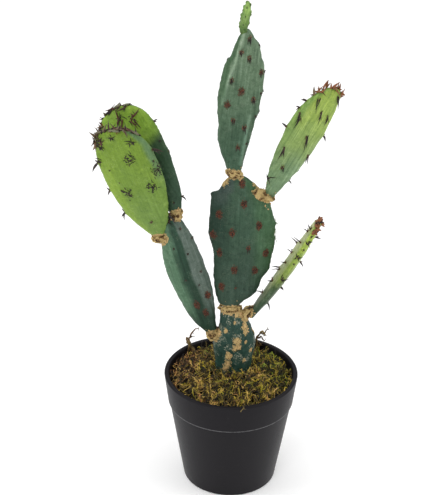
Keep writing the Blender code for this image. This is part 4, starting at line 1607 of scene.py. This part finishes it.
class MakeStage(bpy.types.Operator):
    """Set up the pale floor, the soft lights and the camera"""

    bl_idname = "prickly_pear.make_stage"
    bl_label = "Stage"

    def execute(self, context):
        s = context.scene.pear_stage
        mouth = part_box("pot")[1][2]
        bm = bmesh.new()
        bmesh.ops.create_grid(bm, x_segments=1, y_segments=1, size=6)
        mesh = as_mesh(bm, "floor")
        floor = linked("floor", mesh)
        pale = Shader("floor_paint", roughness=0.9, specular=0.1)
        pale.colour((0.93, 0.93, 0.93))
        pale.skin.inputs["Emission Color"].default_value = (1, 1, 1, 1)
        pale.skin.inputs["Emission Strength"].default_value = s.floor_glow
        mesh.materials.append(pale.material)

        world = context.scene.world or bpy.data.worlds.new("studio")
        context.scene.world = world
        world.use_nodes = True
        sky = world.node_tree.nodes["Background"]
        sky.inputs["Color"].default_value = (1, 1, 1, 1)
        sky.inputs["Strength"].default_value = s.sky

        aim = Vector((0, 0, 0.25))
        for name, place, size, power in (
            ("top_light", (0, 0.6, 3.2), (5.0, 5.0), s.key),
            ("front_light", (-0.7, -2.2, 1.9), (1.0, 1.0), s.front),
            ("left_light", (-1.6, -0.35, 0.9), (0.9, 1.4), s.sides),
            ("right_light", (1.6, -0.35, 0.9), (0.9, 1.4), s.sides),
        ):
            data = bpy.data.lights.new(name, "AREA")
            data.shape = "RECTANGLE"
            data.size, data.size_y = size
            data.energy = power
            lamp = linked(name, data)
            lamp.location = place
            lamp.rotation_euler = (aim - Vector(place)).to_track_quat("-Z", "Y").to_euler()

        data = bpy.data.cameras.new("camera")
        data.sensor_width = 36
        data.lens = s.lens
        data.clip_end = 20
        camera = linked("camera", data)
        camera.location = (0, -s.distance * math.cos(s.elevation), mouth + s.distance * math.sin(s.elevation))
        pitch, yaw, roll = math.radians(29.37), math.radians(0.54), math.radians(0.86)
        turn = Matrix.Rotation(yaw, 4, "Z") @ Matrix.Rotation(math.pi / 2 - pitch, 4, "X")
        camera.rotation_euler = (turn @ Matrix.Rotation(roll, 4, "Z")).to_euler()
        context.scene.camera = camera
        context.scene.view_settings.view_transform = "Standard"
        context.scene.view_settings.look = "None"
        return {"FINISHED"}


class PricklyPearPanel(bpy.types.Panel):
    """Sizes, colours and pieces of the potted prickly pear"""

    bl_idname = "VIEW3D_PT_prickly_pear"
    bl_label = "Potted prickly pear"
    bl_space_type = "VIEW_3D"
    bl_region_type = "UI"
    bl_category = "Prickly Pear"

    def draw(self, context):
        scene = context.scene
        for title, group in (
            ("Pot", scene.pear_pot),
            ("Pads", scene.pear_pads),
            ("Moss", scene.pear_moss),
            ("Stage", scene.pear_stage),
        ):
            box = self.layout.box()
            box.label(text=title)
            for name in group.bl_rna.properties.keys():
                if name not in ("rna_type", "name"):
                    box.prop(group, name)
        for piece in PIECES:
            self.layout.operator(piece.bl_idname)


GROUPS = {
    "pear_pot": PotSettings,
    "pear_pads": PadSettings,
    "pear_moss": MossSettings,
    "pear_stage": StageSettings,
}
PIECES = (
    MakePot,
    FinishSoil,
    MakeMossMat,
    MakeMossFibres,
    MakeMossSprigs,
    MakeTwigs,
    MakePads,
    MakeSpines,
    MakeCollars,
    MakeFlakes,
    MakeStage,
)


def register():
    for kind in (*GROUPS.values(), *PIECES, PricklyPearPanel):
        bpy.utils.register_class(kind)
    for name, kind in GROUPS.items():
        setattr(bpy.types.Scene, name, PointerProperty(type=kind))


def unregister():
    for name in GROUPS:
        delattr(bpy.types.Scene, name)
    for kind in (PricklyPearPanel, *reversed(PIECES), *reversed(GROUPS.values())):
        bpy.utils.unregister_class(kind)


def main():
    register()
    for piece in PIECES:
        group, name = piece.bl_idname.split(".")
        getattr(getattr(bpy.ops, group), name)()


if __name__ == "__main__":
    main()
